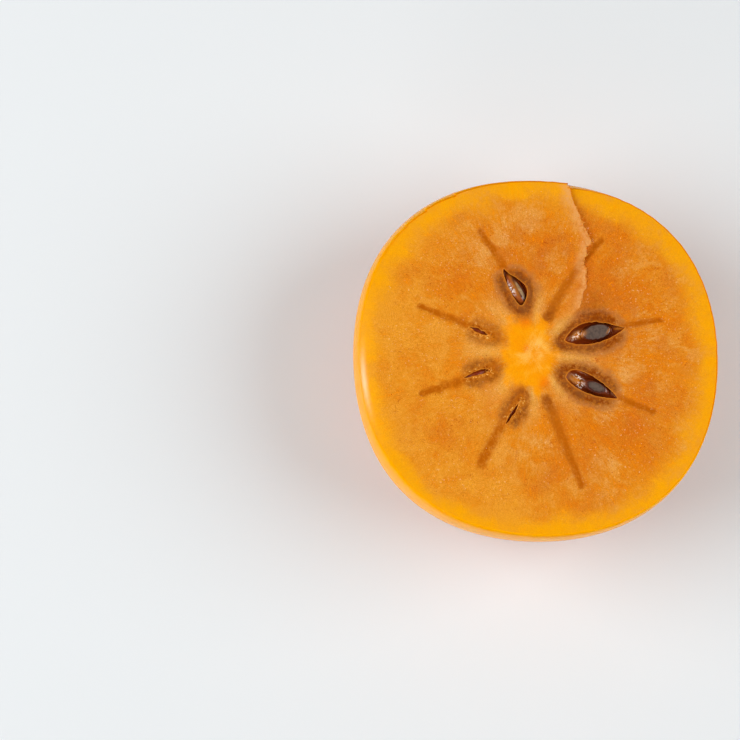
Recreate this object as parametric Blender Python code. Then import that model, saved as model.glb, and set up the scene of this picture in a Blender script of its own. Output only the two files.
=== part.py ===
"""A persimmon sliced across: the larger part of the fruit, cut face up, with its six seeds.

Run it with: blender --background --python part.py

Lengths are in metres and +Z is up. The fruit rests on a small flat spot at its blossom end. The origin is
the middle of its footprint on that surface, +X is the photograph's right and +Y is the photograph's top.
"""

import math
from collections import namedtuple

import bmesh
import bpy
from mathutils import Vector

MM = 0.001

# The whole fruit, before it was sliced
MEAN_RADIUS = 39.7 * MM
BLOSSOM_HEIGHT = 28.0 * MM
CALYX_HEIGHT = 26.0 * MM
BOXINESS = 2.45
LOPSIDEDNESS = math.radians(3.2)

# How the outline departs from a circle: waves round the fruit, share of the radius, direction of a crest
OUTLINE_WAVES = (
    (1, 0.007, math.radians(170)),
    (2, 0.012, math.radians(-39)),
    (3, 0.004, math.radians(17)),
    (4, 0.0185, math.radians(44)),
)

# The underside: four lobes with shallow furrows between them, and the dimple that holds the dry style
FURROW_DEPTH = 0.55 * MM
FURROW_CREST = math.radians(44)
DIMPLE_DEPTH = 3.0 * MM
DIMPLE_RADIUS = 6.0 * MM
STYLE_RADIUS = 1.2 * MM
STYLE_HEIGHT = 1.7 * MM
STYLE_ROOT = 0.8 * MM
FLAT_SPOT_TRIM = 0.45 * MM

# The cut face, and the second knife stroke that runs lower beyond a ragged step
CUT_HEIGHT = 35.4 * MM
CORE = Vector((-0.7 * MM, 0.9 * MM))
STEP_START_Y = 7.8 * MM
STEP_SLOPE = 1.15 / 27.6
STEP_LINE = (
    (7.8, 7.8),
    (9.9, 9.8),
    (11.4, 14.4),
    (11.5, 18.0),
    (10.9, 19.0),
    (11.5, 21.6),
    (11.5, 22.9),
    (12.5, 23.3),
    (12.6, 24.1),
    (11.3, 26.5),
    (10.2, 29.4),
    (8.7, 33.0),
    (6.2, 41.0),
)
KNIFE_REACH = 60.0 * MM

# A seed, and how close the flesh lies round it
SEED_LENGTH = 16.0 * MM
SEED_WIDTH = 9.6 * MM
SEED_THICKNESS = 4.3 * MM
SEED_ROUNDNESS = 2.35
SEED_TAPER = 0.16
SEED_CLEARANCE = 0.35 * MM
SEED_TOP_UNDER_CUT = 0.35 * MM

# The dents that the closed part of each chamber leaves in the cut face
DENT_HALF_WIDTH = 0.95 * MM
DENT_DEPTH = 0.75 * MM
MOUTH_DEPTH = 1.6 * MM
MOUTH_RIM = 0.4 * MM

# How finely the round shapes are divided
SIDES = 80
SKIN_RINGS = 22
SKIN_RING_CROWDING = 1.15
SKIN_LAST_POLAR = math.radians(116)
SEED_SIDES = 16
SEED_RINGS = 10
DENT_SIDES = 8
DENT_RINGS = 10

# One of the eight seed chambers round the core. inner and outer are the ends of its line in the cut face, as
# distance from the core and direction. mouth_from, mouth_to and mouth_half give the opening along that line.
# seed_at is the seed's middle along the line, and seed_rise how far its whole tip would stand over the cut:
# where that is above zero the knife took the tip off.
Chamber = namedtuple(
    "Chamber", "name inner outer mouth_from mouth_to mouth_half seed_at seed_rise"
)
CHAMBERS = (
    Chamber("right_upper", (7.2, 20.6), (27.8, 14.5), 0.0, 13.1, 2.3, 7.0, 0.5),
    Chamber("right_lower", (8.6, -36.0), (29.3, -26.0), 0.0, 11.7, 1.9, 6.3, 0.15),
    Chamber("top", (10.5, 100.2), (28.0, 113.1), 0.0, 9.2, 1.65, 4.6, 0.0),
    Chamber("left_upper", (7.6, 155.6), (26.9, 157.4), 2.4, 7.0, 0.5, 5.4, -1.1),
    Chamber("left_lower", (8.1, 199.9), (25.5, 199.8), 1.7, 7.4, 0.6, 4.9, -1.0),
    Chamber("bottom_left", (8.1, -105.0), (26.8, -115.2), 2.1, 8.3, 0.5, 5.2, -1.1),
    Chamber("top_right", (7.5, 67.0), (28.5, 58.3), None, None, None, None, None),
    Chamber("bottom", (9.4, -74.4), (30.3, -70.0), None, None, None, None, None),
)

SKIN_COLOUR = (0.86, 0.30, 0.012, 1.0)
FLESH_COLOUR = (0.80, 0.32, 0.05, 1.0)
SEED_COLOUR = (0.085, 0.022, 0.008, 1.0)


def clear_scene():
    for obj in list(bpy.data.objects):
        bpy.data.objects.remove(obj)


def material(name, colour, roughness):
    made = bpy.data.materials.new(name)
    made.use_nodes = True
    shader = made.node_tree.nodes["Principled BSDF"]
    shader.inputs["Base Color"].default_value = colour
    shader.inputs["Roughness"].default_value = roughness
    shader.inputs["Metallic"].default_value = 0.0
    return made


def signed_power(value, power):
    return math.copysign(abs(value) ** power, value)


def polar_point(distance_mm, degrees):
    """A point of the cut face, from its distance and direction seen from the core."""
    angle = math.radians(degrees)
    return CORE + distance_mm * MM * Vector((math.cos(angle), math.sin(angle)))


def step_drop(y):
    """How far the second knife stroke runs under the first at this y."""
    return max(0.0, (y - CORE.y - STEP_START_Y) * STEP_SLOPE)


def step_points():
    return [CORE + Vector(point) * MM for point in STEP_LINE]


def cut_height(point):
    """Height of the cut face at a point, on whichever side of the step it lies."""
    line = step_points()
    if not line[0].y < point.y < line[-1].y:
        return CUT_HEIGHT
    for low, high in zip(line, line[1:]):
        if low.y <= point.y <= high.y:
            share = (point.y - low.y) / (high.y - low.y)
            if point.x > low.x + share * (high.x - low.x):
                return CUT_HEIGHT - step_drop(point.y)
            return CUT_HEIGHT
    return CUT_HEIGHT


def loft(name, rings, finish, smooth_angle=math.radians(40)):
    """A closed solid through rings of equally many points, each ring turning the same way, with flat ends."""
    bm = bmesh.new()
    rows = [[bm.verts.new(point) for point in ring] for ring in rings]
    count = len(rings[0])
    for low, high in zip(rows, rows[1:]):
        for i in range(count):
            j = (i + 1) % count
            bm.faces.new((low[i], low[j], high[j], high[i]))
    bm.faces.new(reversed(rows[0]))
    bm.faces.new(rows[-1])
    return finished_object(name, bm, finish, smooth_angle)


def finished_object(name, bm, finish, smooth_angle=math.radians(40)):
    bmesh.ops.recalc_face_normals(bm, faces=bm.faces[:])
    mesh = bpy.data.meshes.new(name)
    bm.to_mesh(mesh)
    bm.free()
    mesh.materials.append(finish)
    mesh.shade_smooth()
    mesh.set_sharp_from_angle(angle=smooth_angle)
    obj = bpy.data.objects.new(name, mesh)
    bpy.context.scene.collection.objects.link(obj)
    return obj


def outline_factor(azimuth):
    return 1.0 + sum(
        share * math.cos(waves * (azimuth - crest))
        for waves, share, crest in OUTLINE_WAVES
    )


def skin_point(azimuth, polar):
    """A point of the whole fruit's skin in its own upright frame. polar is 0 at the blossom end."""
    radius = (
        MEAN_RADIUS
        * outline_factor(azimuth)
        * signed_power(math.sin(polar), 2 / BOXINESS)
    )
    half_height = BLOSSOM_HEIGHT if math.cos(polar) > 0 else CALYX_HEIGHT
    height = -half_height * signed_power(math.cos(polar), 2 / BOXINESS)
    if math.cos(polar) > 0:
        reach = radius / MEAN_RADIUS
        furrow = 0.5 - 0.5 * math.cos(4 * (azimuth - FURROW_CREST))
        height += FURROW_DEPTH * furrow * 4 * reach * (1 - reach)
        height += DIMPLE_DEPTH * math.exp(-((radius / DIMPLE_RADIUS) ** 2))
    x = radius * math.cos(azimuth)
    share_up = min(1.0, max(0.0, 1 + height / BLOSSOM_HEIGHT))
    height += x * math.tan(LOPSIDEDNESS) * share_up**2
    return Vector((x, radius * math.sin(azimuth), height))


def skin_rings():
    """The rings of the skin from the blossom end up past the cut, centred over their footprint at z 0."""
    rings = []
    for ring in range(1, SKIN_RINGS + 1):
        polar = SKIN_LAST_POLAR * (ring / SKIN_RINGS) ** SKIN_RING_CROWDING
        azimuths = (2 * math.pi * side / SIDES for side in range(SIDES))
        rings.append([skin_point(azimuth, polar) for azimuth in azimuths])
    points = [point for ring in rings for point in ring]
    low, high = (
        Vector((pick(p.x for p in points), pick(p.y for p in points)))
        for pick in (min, max)
    )
    middle = (low + high) / 2
    base = min(point.z for point in points) + FLAT_SPOT_TRIM
    shift = Vector((-middle.x, -middle.y, -base))
    return [[point + shift for point in ring] for ring in rings]


def style_tip(rings, finish):
    """The dry stub of the style, which stands in the dimple and stays clear of the surface."""
    pole = sum(rings[0], Vector()) / len(rings[0])
    levels = (
        (STYLE_ROOT, 1.0),
        (-0.3 * STYLE_HEIGHT + STYLE_ROOT, 0.95),
        (STYLE_ROOT - STYLE_HEIGHT, 0.45),
    )
    made = []
    for height, share in levels:
        ring = []
        for side in range(8):
            angle = math.pi / 4 * side
            radius = STYLE_RADIUS * share * (1.0 if side % 2 else 0.72)
            offset = Vector(
                (radius * math.cos(angle), radius * math.sin(angle), height)
            )
            ring.append(pole + offset)
        made.append(ring)
    return loft("style_tip", made, finish)


def knife_path(finish):
    """What the knife took off: all above the cut face, and lower beyond the step."""
    line = step_points()
    reach = KNIFE_REACH
    start = Vector((reach, line[0].y))
    end = Vector((line[-1].x, reach))
    bm = bmesh.new()

    def corner(point, drop=0.0):
        return bm.verts.new((point.x, point.y, CUT_HEIGHT - drop))

    high_line = [corner(point) for point in (*line, end)]
    low_line = [corner(point, step_drop(point.y)) for point in (*line[1:], end)]
    hinge_end = corner(start)
    far_low = corner(Vector((reach, reach)), step_drop(reach))
    corners = ((reach, -reach), (-reach, -reach), (-reach, reach))
    right_low, left_low, left_high = (corner(Vector(c)) for c in corners)
    lid = {}
    for vert in (right_low, left_low, left_high, far_low, hinge_end, high_line[-1]):
        lid[vert] = bm.verts.new((vert.co.x, vert.co.y, CUT_HEIGHT + reach))

    bm.faces.new((*high_line, left_high, left_low, right_low, hinge_end))
    bm.faces.new((high_line[0], *low_line, far_low, hinge_end))
    lows = [high_line[0], *low_line]
    bm.faces.new((high_line[0], high_line[1], lows[1]))
    for i in range(1, len(high_line) - 1):
        bm.faces.new((high_line[i], high_line[i + 1], lows[i + 1], lows[i]))
    bm.faces.new((high_line[-1], lows[-1], far_low, lid[far_low], lid[high_line[-1]]))
    round_the_rim = (far_low, hinge_end, right_low, left_low, left_high, high_line[-1])
    for first, second in zip(round_the_rim, round_the_rim[1:]):
        bm.faces.new((first, second, lid[second], lid[first]))
    bm.faces.new([lid[vert] for vert in round_the_rim])
    return finished_object("knife_path", bm, finish)


def resting_surface(finish):
    """Flattens the lowest part of the skin, as the fruit's own weight does."""
    corners = ((-1, -1), (1, -1), (1, 1), (-1, 1))
    rings = [
        [Vector((x * KNIFE_REACH, y * KNIFE_REACH, z)) for x, y in corners]
        for z in (-KNIFE_REACH, 0.0)
    ]
    return loft("resting_surface", rings, finish)


def chamber_line(chamber):
    """Start, unit direction and length of the chamber's line in the cut face."""
    start = polar_point(*chamber.inner)
    run = polar_point(*chamber.outer) - start
    return start, run.normalized(), run.length


def dent(chamber, finish):
    """A long shallow hollow, deepest and widest near the core, that the chamber leaves in the cut face."""
    start, along, length = chamber_line(chamber)
    across = Vector((-along.y, along.x))
    rings = []
    for ring in range(DENT_RINGS + 1):
        share = 0.01 + 0.98 * ring / DENT_RINGS
        size = (4 * share * (1 - share)) ** 0.35 * (1.12 - 0.4 * share)
        middle = start + along * length * share
        level = cut_height(middle)
        points = []
        for side in range(DENT_SIDES):
            angle = 2 * math.pi * (side + 0.5) / DENT_SIDES
            point = middle + across * DENT_HALF_WIDTH * size * math.cos(angle)
            depth = DENT_DEPTH * size * math.sin(angle)
            points.append(Vector((point.x, point.y, level + depth)))
        rings.append(points)
    return loft("dent_" + chamber.name, rings, finish)


def mouth_width(share):
    """Width of the opening along its length: blunt towards the core and drawn to a point outwards."""
    return share**0.55 * (1 - share) ** 0.9


def mouth_ring(chamber, height):
    """The opening's outline at this height, its points in the same order as those of a seed's ring."""
    start, along, _ = chamber_line(chamber)
    across = Vector((-along.y, along.x))
    length = (chamber.mouth_to - chamber.mouth_from) * MM
    inner_end = start + along * chamber.mouth_from * MM
    widest = mouth_width(0.55 / 1.45)
    points = []
    for side in range(SEED_SIDES):
        angle = 2 * math.pi * side / SEED_SIDES
        share = 0.5 + 0.5 * math.cos(angle)
        half = chamber.mouth_half * MM * mouth_width(share) / widest
        point = inner_end + along * share * length
        point += math.copysign(half, math.sin(angle)) * across
        points.append(Vector((point.x, point.y, height)))
    return points


def hollow(chamber, finish):
    """The room round a seed, as one shape with its opening in the cut face."""
    rings = seed_rings(chamber, SEED_CLEARANCE, CUT_HEIGHT - MOUTH_DEPTH)
    rings.append(mouth_ring(chamber, CUT_HEIGHT - MOUTH_RIM))
    rings.append(mouth_ring(chamber, CUT_HEIGHT + MM))
    return loft("hollow_" + chamber.name, rings, finish)


def seed_rings(chamber, grown, ceiling):
    """Level rings of the seed, or of its hollow when grown by the clearance, up to the ceiling height."""
    start, along, _ = chamber_line(chamber)
    across = Vector((-along.y, along.x))
    middle = start + along * chamber.seed_at * MM
    half_length = SEED_LENGTH / 2 + grown
    centre_height = CUT_HEIGHT + chamber.seed_rise * MM - SEED_LENGTH / 2
    top = min(0.985 * half_length, ceiling - centre_height)
    rings = []
    for ring in range(SEED_RINGS + 1):
        turn = -0.5 * math.pi + math.pi * (0.04 + 0.96 * ring / SEED_RINGS)
        level = min(half_length * math.sin(turn), top)
        share = abs(level / half_length) ** SEED_ROUNDNESS
        size = (1 - share) ** (1 / SEED_ROUNDNESS) * (1 + SEED_TAPER * level / half_length)
        rings.append(seed_ring(middle, along, across, size, grown, centre_height + level))
        if level == top:
            break
    return rings


def seed_ring(middle, along, across, size, grown, height):
    points = []
    for side in range(SEED_SIDES):
        angle = 2 * math.pi * side / SEED_SIDES
        point = middle + along * (SEED_WIDTH / 2 + grown) * size * math.cos(angle)
        point += across * (SEED_THICKNESS / 2 + grown) * size * math.sin(angle)
        points.append(Vector((point.x, point.y, height)))
    return points


def combine(obj, name, operation, shapes):
    """Joins the shapes to the object or cuts them out of it. New faces keep the shapes' own material."""
    helpers = bpy.data.collections.new(name)
    bpy.context.scene.collection.children.link(helpers)
    for shape in shapes:
        bpy.context.scene.collection.objects.unlink(shape)
        helpers.objects.link(shape)
        shape.hide_render = True
        shape.display_type = "WIRE"
    modifier = obj.modifiers.new(name, "BOOLEAN")
    modifier.operation = operation
    modifier.solver = "EXACT"
    modifier.material_mode = "TRANSFER"
    modifier.operand_type = "COLLECTION"
    modifier.collection = helpers


def build_fruit(skin, flesh):
    """The sliced fruit as one grown piece, skin and flesh, hollowed by its chambers."""
    rings = skin_rings()
    fruit = loft("fruit_half", rings, skin)
    combine(fruit, "style", "UNION", [style_tip(rings, skin)])
    combine(fruit, "outside", "DIFFERENCE", [resting_surface(skin), knife_path(flesh)])
    dents = [dent(chamber, flesh) for chamber in CHAMBERS]
    hollows = [hollow(chamber, flesh) for chamber in CHAMBERS if chamber.seed_at]
    combine(fruit, "inside", "DIFFERENCE", hollows + dents)
    return fruit


def build_seeds(coat):
    """One loose flat seed for each chamber that has one, with the tip sliced off where the knife met it."""
    ceiling = CUT_HEIGHT - SEED_TOP_UNDER_CUT
    for chamber in CHAMBERS:
        if chamber.seed_at is not None:
            loft("seed_" + chamber.name, seed_rings(chamber, 0.0, ceiling), coat)


def main():
    clear_scene()
    skin = material("persimmon_skin", SKIN_COLOUR, 0.3)
    flesh = material("persimmon_flesh", FLESH_COLOUR, 0.4)
    coat = material("seed_coat", SEED_COLOUR, 0.22)
    build_fruit(skin, flesh)
    build_seeds(coat)


main()
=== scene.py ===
"""A persimmon sliced across, cut face up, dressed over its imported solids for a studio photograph.

Shapes are worked out in millimetres and become metres when a mesh is made. +X is the photograph's right, +Y
its top and +Z is up. The origin is the middle of the fruit's footprint on the surface it rests on.
"""

import logging
import math
from collections.abc import Callable, Sequence
from dataclasses import dataclass, field, replace
from enum import Enum
from functools import cache
from typing import Any

import bpy
import numpy as np
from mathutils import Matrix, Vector
from mathutils.geometry import delaunay_2d_cdt

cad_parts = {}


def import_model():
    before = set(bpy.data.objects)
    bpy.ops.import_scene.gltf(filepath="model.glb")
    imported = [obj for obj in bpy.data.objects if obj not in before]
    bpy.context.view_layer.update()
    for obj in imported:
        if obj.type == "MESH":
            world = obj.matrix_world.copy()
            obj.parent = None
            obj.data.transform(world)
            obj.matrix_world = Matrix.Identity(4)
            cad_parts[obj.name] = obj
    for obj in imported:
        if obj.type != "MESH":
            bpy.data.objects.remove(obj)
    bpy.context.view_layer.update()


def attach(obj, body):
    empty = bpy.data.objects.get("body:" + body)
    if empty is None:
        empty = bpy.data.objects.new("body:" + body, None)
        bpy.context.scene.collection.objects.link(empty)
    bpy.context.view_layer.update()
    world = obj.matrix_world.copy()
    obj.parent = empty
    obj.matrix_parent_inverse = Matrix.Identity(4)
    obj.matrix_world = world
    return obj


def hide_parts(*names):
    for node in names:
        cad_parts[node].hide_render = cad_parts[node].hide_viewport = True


LOG = logging.getLogger("persimmon")
MM = 0.001
TURN = 2 * math.pi
Array = np.ndarray
Colour = tuple[float, float, float, float]
Pair = tuple[float, float]
Point = tuple[float, float, float]


def paint(*display: int) -> Colour:
    """Turn an 8-bit display colour into the linear colour that shaders take.

    Args:
        display: Red, green and blue, 0 to 255.

    Returns:
        The linear colour with full alpha.
    """
    shares = [channel / 255 for channel in display]
    linear = [s / 12.92 if s <= 0.04045 else ((s + 0.055) / 1.055) ** 2.4 for s in shares]
    return (*linear, 1.0)


def ease(low: float, high: float, value: Array) -> Array:
    """Rise smoothly from 0 at low to 1 at high.

    Args:
        low: Where the rise starts.
        high: Where it ends. It may be under low, for a fall.
        value: The values to map.

    Returns:
        The eased shares, 0 to 1.
    """
    share = np.clip((value - low) / (high - low), 0.0, 1.0)
    return share * share * (3 - 2 * share)


def bell(value: Array, width: Array | float, power: float = 2) -> Array:
    """Fall smoothly from 1 at 0.

    Args:
        value: The values to map.
        width: Value at which a third is left.
        power: How square the fall is.

    Returns:
        Shares of 0 to 1.
    """
    return np.exp(-((value / width) ** power))


def spot(x: Array, y: Array, place: Pair, size: float) -> Array:
    """Mark a soft round spot.

    Args:
        x: Points' x.
        y: Points' y.
        place: The spot's middle.
        size: Its radius.

    Returns:
        Shares of 0 to 1.
    """
    return np.exp(-(((x - place[0]) ** 2 + (y - place[1]) ** 2) / size**2))


def circle(count: int) -> Array:
    """Give evenly spaced directions, in radians."""
    return TURN * np.arange(count) / count


def turn_from(start: Array | float, azimuth: Array | float) -> Array:
    """Give the shortest turn from the second direction to the first, in radians."""
    return np.angle(np.exp(1j * (start - azimuth)))


def ripple(x: Array, y: Array, size: float, seed: int, waves: int = 9) -> Array:
    """Lay a smooth, aperiodic ripple over the plane from a few crossing waves.

    Args:
        x: Points' x.
        y: Points' y.
        size: Rough distance between crests.
        seed: Which ripple this is.
        waves: How many waves cross.

    Returns:
        Values of about -1 to 1.
    """
    chance = np.random.default_rng(seed)
    total = np.zeros_like(np.asarray(x, dtype=float))
    for _ in range(waves):
        turn, phase = chance.uniform(0, TURN, 2)
        pitch = TURN / (size * chance.uniform(0.7, 1.7))
        total += np.sin(pitch * (x * math.cos(turn) + y * math.sin(turn)) + phase)
    return total / math.sqrt(waves) / 1.4


def distance_to_path(x: Array, y: Array, path: Array, reach: float = 4.5) -> tuple[Array, Array]:
    """Measure how far points lie from a path of straight pieces.

    Args:
        x: Points' x.
        y: Points' y.
        path: The path's corners, one row each.
        reach: Distance from the path's box past which a point is only called far.

    Returns:
        The distances, and the share of the path's length at which each nearest place lies.
    """
    x, y = np.asarray(x, dtype=float), np.asarray(y, dtype=float)
    (west, south), (east, north) = path.min(axis=0) - reach, path.max(axis=0) + reach
    close = (x > west) & (x < east) & (y > south) & (y < north)
    if not close.all():
        gaps, shares = np.full(x.shape, 2 * reach), np.zeros(x.shape)
        if close.any():
            gaps[close], shares[close] = distance_to_path(x[close], y[close], path, reach)
        return gaps, shares
    steps = np.diff(path, axis=0)
    lengths = np.hypot(*steps.T)
    starts = np.concatenate([[0.0], np.cumsum(lengths)])
    best, where = np.full(x.shape, np.inf), np.zeros(x.shape)
    for corner, step, length, start in zip(path, steps, lengths, starts):
        off_x, off_y = x - corner[0], y - corner[1]
        share = np.clip((off_x * step[0] + off_y * step[1]) / length**2, 0, 1)
        gap = np.hypot(off_x - share * step[0], off_y - share * step[1])
        nearer = gap < best
        best = np.where(nearer, gap, best)
        where = np.where(nearer, (start + share * length) / starts[-1], where)
    return best, where


def closed(loop: Array) -> Array:
    """Repeat a loop's first corner at its end."""
    return np.vstack([loop, loop[:1]])


def inside_loop(x: Array, y: Array, loop: Array) -> Array:
    """Tell which points lie inside a closed loop.

    Args:
        x: Points' x.
        y: Points' y.
        loop: The loop's corners, one row each.

    Returns:
        True for each point inside.
    """
    within = np.zeros(np.shape(x), dtype=bool)
    for (x0, y0), (x1, y1) in zip(loop, np.roll(loop, -1, axis=0)):
        if y0 != y1:
            crossing = (y0 > y) != (y1 > y)
            within ^= crossing & (x < (x1 - x0) * (y - y0) / (y1 - y0) + x0)
    return within


def add_object(name: str, data: Any) -> bpy.types.Object:
    """Put new data in the scene.

    Args:
        name: The object's name.
        data: Its mesh, lamp or lens.

    Returns:
        The object.
    """
    made = bpy.data.objects.new(name, data)
    bpy.context.scene.collection.objects.link(made)
    return made


def read_points(mesh: bpy.types.Mesh) -> Array:
    """Read a mesh's points, in metres, one row each."""
    place = np.empty(3 * len(mesh.vertices), dtype=np.float32)
    mesh.vertices.foreach_get("co", place)
    return place.reshape(-1, 3)


def write_values(mesh: bpy.types.Mesh, name: str, values: Array) -> None:
    """Store one number for each point under a name that materials and node trees read."""
    mesh.attributes.new(name, "FLOAT", "POINT").data.foreach_set("value", values.astype(np.float32))


def operator(operation: str, mirrored: bool = False) -> Callable[..., "Value"]:
    """Make a method that adds one Math node.

    Args:
        operation: The node's operation.
        mirrored: Whether the other term comes first.

    Returns:
        The method.
    """

    def apply(this: "Value", *others: Any) -> "Value":
        """Add the node to the value and the other term."""
        terms = (*others, this) if mirrored else (this, *others)
        return this.sheet.node("ShaderNodeMath", dict(enumerate(terms)), operation=operation)[0]

    return apply


@dataclass(frozen=True)
class Value:
    """A node socket that takes part in arithmetic, adding the maths nodes it needs."""

    sheet: "Sheet"
    socket: bpy.types.NodeSocket

    __add__ = __radd__ = operator("ADD")
    __mul__ = __rmul__ = operator("MULTIPLY")
    __sub__, __rsub__ = operator("SUBTRACT"), operator("SUBTRACT", mirrored=True)
    __truediv__, __rtruediv__ = operator("DIVIDE"), operator("DIVIDE", mirrored=True)
    __pow__, size = operator("POWER"), operator("ABSOLUTE")
    least, most = operator("MAXIMUM"), operator("MINIMUM")
    under, over = operator("LESS_THAN"), operator("GREATER_THAN")

    def eased(self, low: Any, high: Any) -> "Value":
        """Rise smoothly from 0 at low to 1 at high, or fall where low is the larger number.

        Args:
            low: Value that gives 0.
            high: Value that gives 1.

        Returns:
            The eased value.
        """
        falls = isinstance(low, (int, float)) and low > high
        ends = (high, low, 1.0, 0.0) if falls else (low, high, 0.0, 1.0)
        sockets = dict(zip(("Value", "From Min", "From Max", "To Min", "To Max"), (self, *ends)))
        return self.sheet.node("ShaderNodeMapRange", sockets, interpolation_type="SMOOTHSTEP")["Result"]


@dataclass(frozen=True)
class Made:
    """A node that has been added, whose outputs are read by name or number."""

    sheet: "Sheet"
    node: bpy.types.Node

    def __getitem__(self, key: int | str) -> Value:
        """Give one output as a value."""
        return Value(self.sheet, Sheet.socket(self.node.outputs, key))


class Sheet:
    """A node tree under construction, for a shader or for geometry."""

    def __init__(self, tree: bpy.types.NodeTree) -> None:
        """Start on an empty tree."""
        self.tree = tree
        tree.nodes.clear()

    @staticmethod
    def socket(sockets: Any, key: int | str) -> bpy.types.NodeSocket:
        """Find a socket by its identifier, or else by its name or number."""
        matches = [socket for socket in sockets if socket.identifier == key]
        return matches[0] if matches else sockets[key]

    def node(self, kind: str, sockets: dict[int | str, Any] | None = None, **settings: Any) -> Made:
        """Add any node: its settings first, then the values or links of its sockets.

        Args:
            kind: The node's type.
            sockets: A number, colour or value for each input.
            settings: The node's properties.

        Returns:
            The new node.
        """
        node = self.tree.nodes.new(kind)
        for name, value in settings.items():
            setattr(node, name, value)
        for key, value in (sockets or {}).items():
            target = self.socket(node.inputs, key)
            if isinstance(value, Value):
                self.tree.links.new(value.socket, target)
            else:
                target.default_value = value
        return Made(self, node)

    def vector(self, x: Any = 0.0, y: Any = 0.0, z: Any = 0.0) -> Value:
        """Put a vector together."""
        return self.node("ShaderNodeCombineXYZ", {"X": x, "Y": y, "Z": z})["Vector"]

    def parts(self, vector: Value) -> list[Value]:
        """Take a vector apart."""
        split = self.node("ShaderNodeSeparateXYZ", {"Vector": vector})
        return [split[axis] for axis in "XYZ"]

    def vectors(self, operation: str, *terms: Any) -> Made:
        """Add one Vector Math node."""
        return self.node("ShaderNodeVectorMath", dict(enumerate(terms)), operation=operation)

    def attributes(self, *names: str) -> list[Value]:
        """Read the piece's own number attributes."""
        return [self.node("ShaderNodeAttribute", attribute_name=name)["Fac"] for name in names]

    def noise(
        self, place: Value, scale: float, detail: float = 2.0, rough: float = 0.5, swirl: float = 0.0
    ) -> Value:
        """Add soft noise.

        Args:
            place: Where it is read.
            scale: Features in a metre, or in a unit of place.
            detail: How many finer layers it has.
            rough: How strong they are.
            swirl: How much it is drawn into wisps.

        Returns:
            Noise of 0 to 1.
        """
        sockets = {"Vector": place, "Scale": scale, "Detail": detail, "Roughness": rough, "Distortion": swirl}
        return self.node("ShaderNodeTexNoise", sockets)["Fac"]

    def blend(self, share: Any, base: Any, top: Any, mode: str = "MIX") -> Value:
        """Mix two colours.

        Args:
            share: How much of the top shows.
            base: The colour under it.
            top: The colour on top.
            mode: The kind of mixing.

        Returns:
            The mixed colour.
        """
        sockets = {"Factor_Float": share, "A_Color": base, "B_Color": top}
        mixed = self.node("ShaderNodeMix", sockets, data_type="RGBA", blend_type=mode, clamp_factor=True)
        return mixed["Result_Color"]

    def layers(self, colour: Any, *layers: tuple[Any, Any]) -> Value:
        """Lay colours over each other.

        Args:
            colour: The lowest colour.
            layers: Each further layer's share and colour, from the bottom up.

        Returns:
            The colour that shows.
        """
        for share, top in layers:
            colour = self.blend(share, colour, top)
        return colour

    def ramp(self, place: Value, *colours: Colour) -> Value:
        """Read a colour off a ramp.

        Args:
            place: Where on the ramp, 0 to 1.
            colours: The ramp's colours, evenly spaced.

        Returns:
            The colour.
        """
        made = self.node("ShaderNodeValToRGB", {"Fac": place})
        elements = made.node.color_ramp.elements
        while len(elements) < len(colours):
            elements.new(1.0)
        for number, (element, colour) in enumerate(zip(elements, colours)):
            element.position, element.color = number / (len(colours) - 1), colour
        return made["Color"]

    def dots(self, place: Value, spacing: float, radius: float, kept: float) -> Value:
        """Scatter small round dots.

        Args:
            place: Where they are read, in metres.
            spacing: Rough distance between cells, in millimetres.
            radius: Dot radius, in millimetres.
            kept: Share of the cells that hold a dot.

        Returns:
            1 inside a dot, easing to 0 at its edge.
        """
        cells = self.node("ShaderNodeTexVoronoi", {"Vector": place, "Scale": 1 / (spacing * MM)})
        chance = self.node("ShaderNodeSeparateColor", {"Color": cells["Color"]})["Red"]
        reach = radius / spacing
        return cells["Distance"].eased(reach, 0.4 * reach) * chance.under(kept)

    def bump(self, height: Value, strength: float, depth: float) -> Value:
        """Raise a surface's relief.

        Args:
            height: The relief, 0 to 1.
            strength: How much of it shows.
            depth: How deep it is, in millimetres.

        Returns:
            The bumped normal.
        """
        sockets = {"Height": height, "Strength": strength, "Distance": depth * MM}
        return self.node("ShaderNodeBump", sockets)["Normal"]


@dataclass(frozen=True)
class Finish:
    """What every finish has in common: a name and a way to become a material."""

    name: str

    def material(self) -> bpy.types.Material:
        """Build the material, once.

        Returns:
            The finished material.
        """
        made = bpy.data.materials.get(self.name)
        if not made:
            made = bpy.data.materials.new(self.name)
            made.use_nodes = True
            sheet = Sheet(made.node_tree)
            place = sheet.node("ShaderNodeTexCoord")["Object"]
            shader = sheet.node("ShaderNodeBsdfPrincipled", self.surface(sheet, place))
            sheet.node("ShaderNodeOutputMaterial", {"Surface": shader["BSDF"]})
        return made

    def surface(self, sheet: Sheet, place: Value) -> dict[str, Any]:
        """Say what goes into the shader's sockets.

        Args:
            sheet: The material's node sheet.
            place: Object coordinates.

        Returns:
            The shader's sockets.
        """
        raise NotImplementedError


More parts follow.
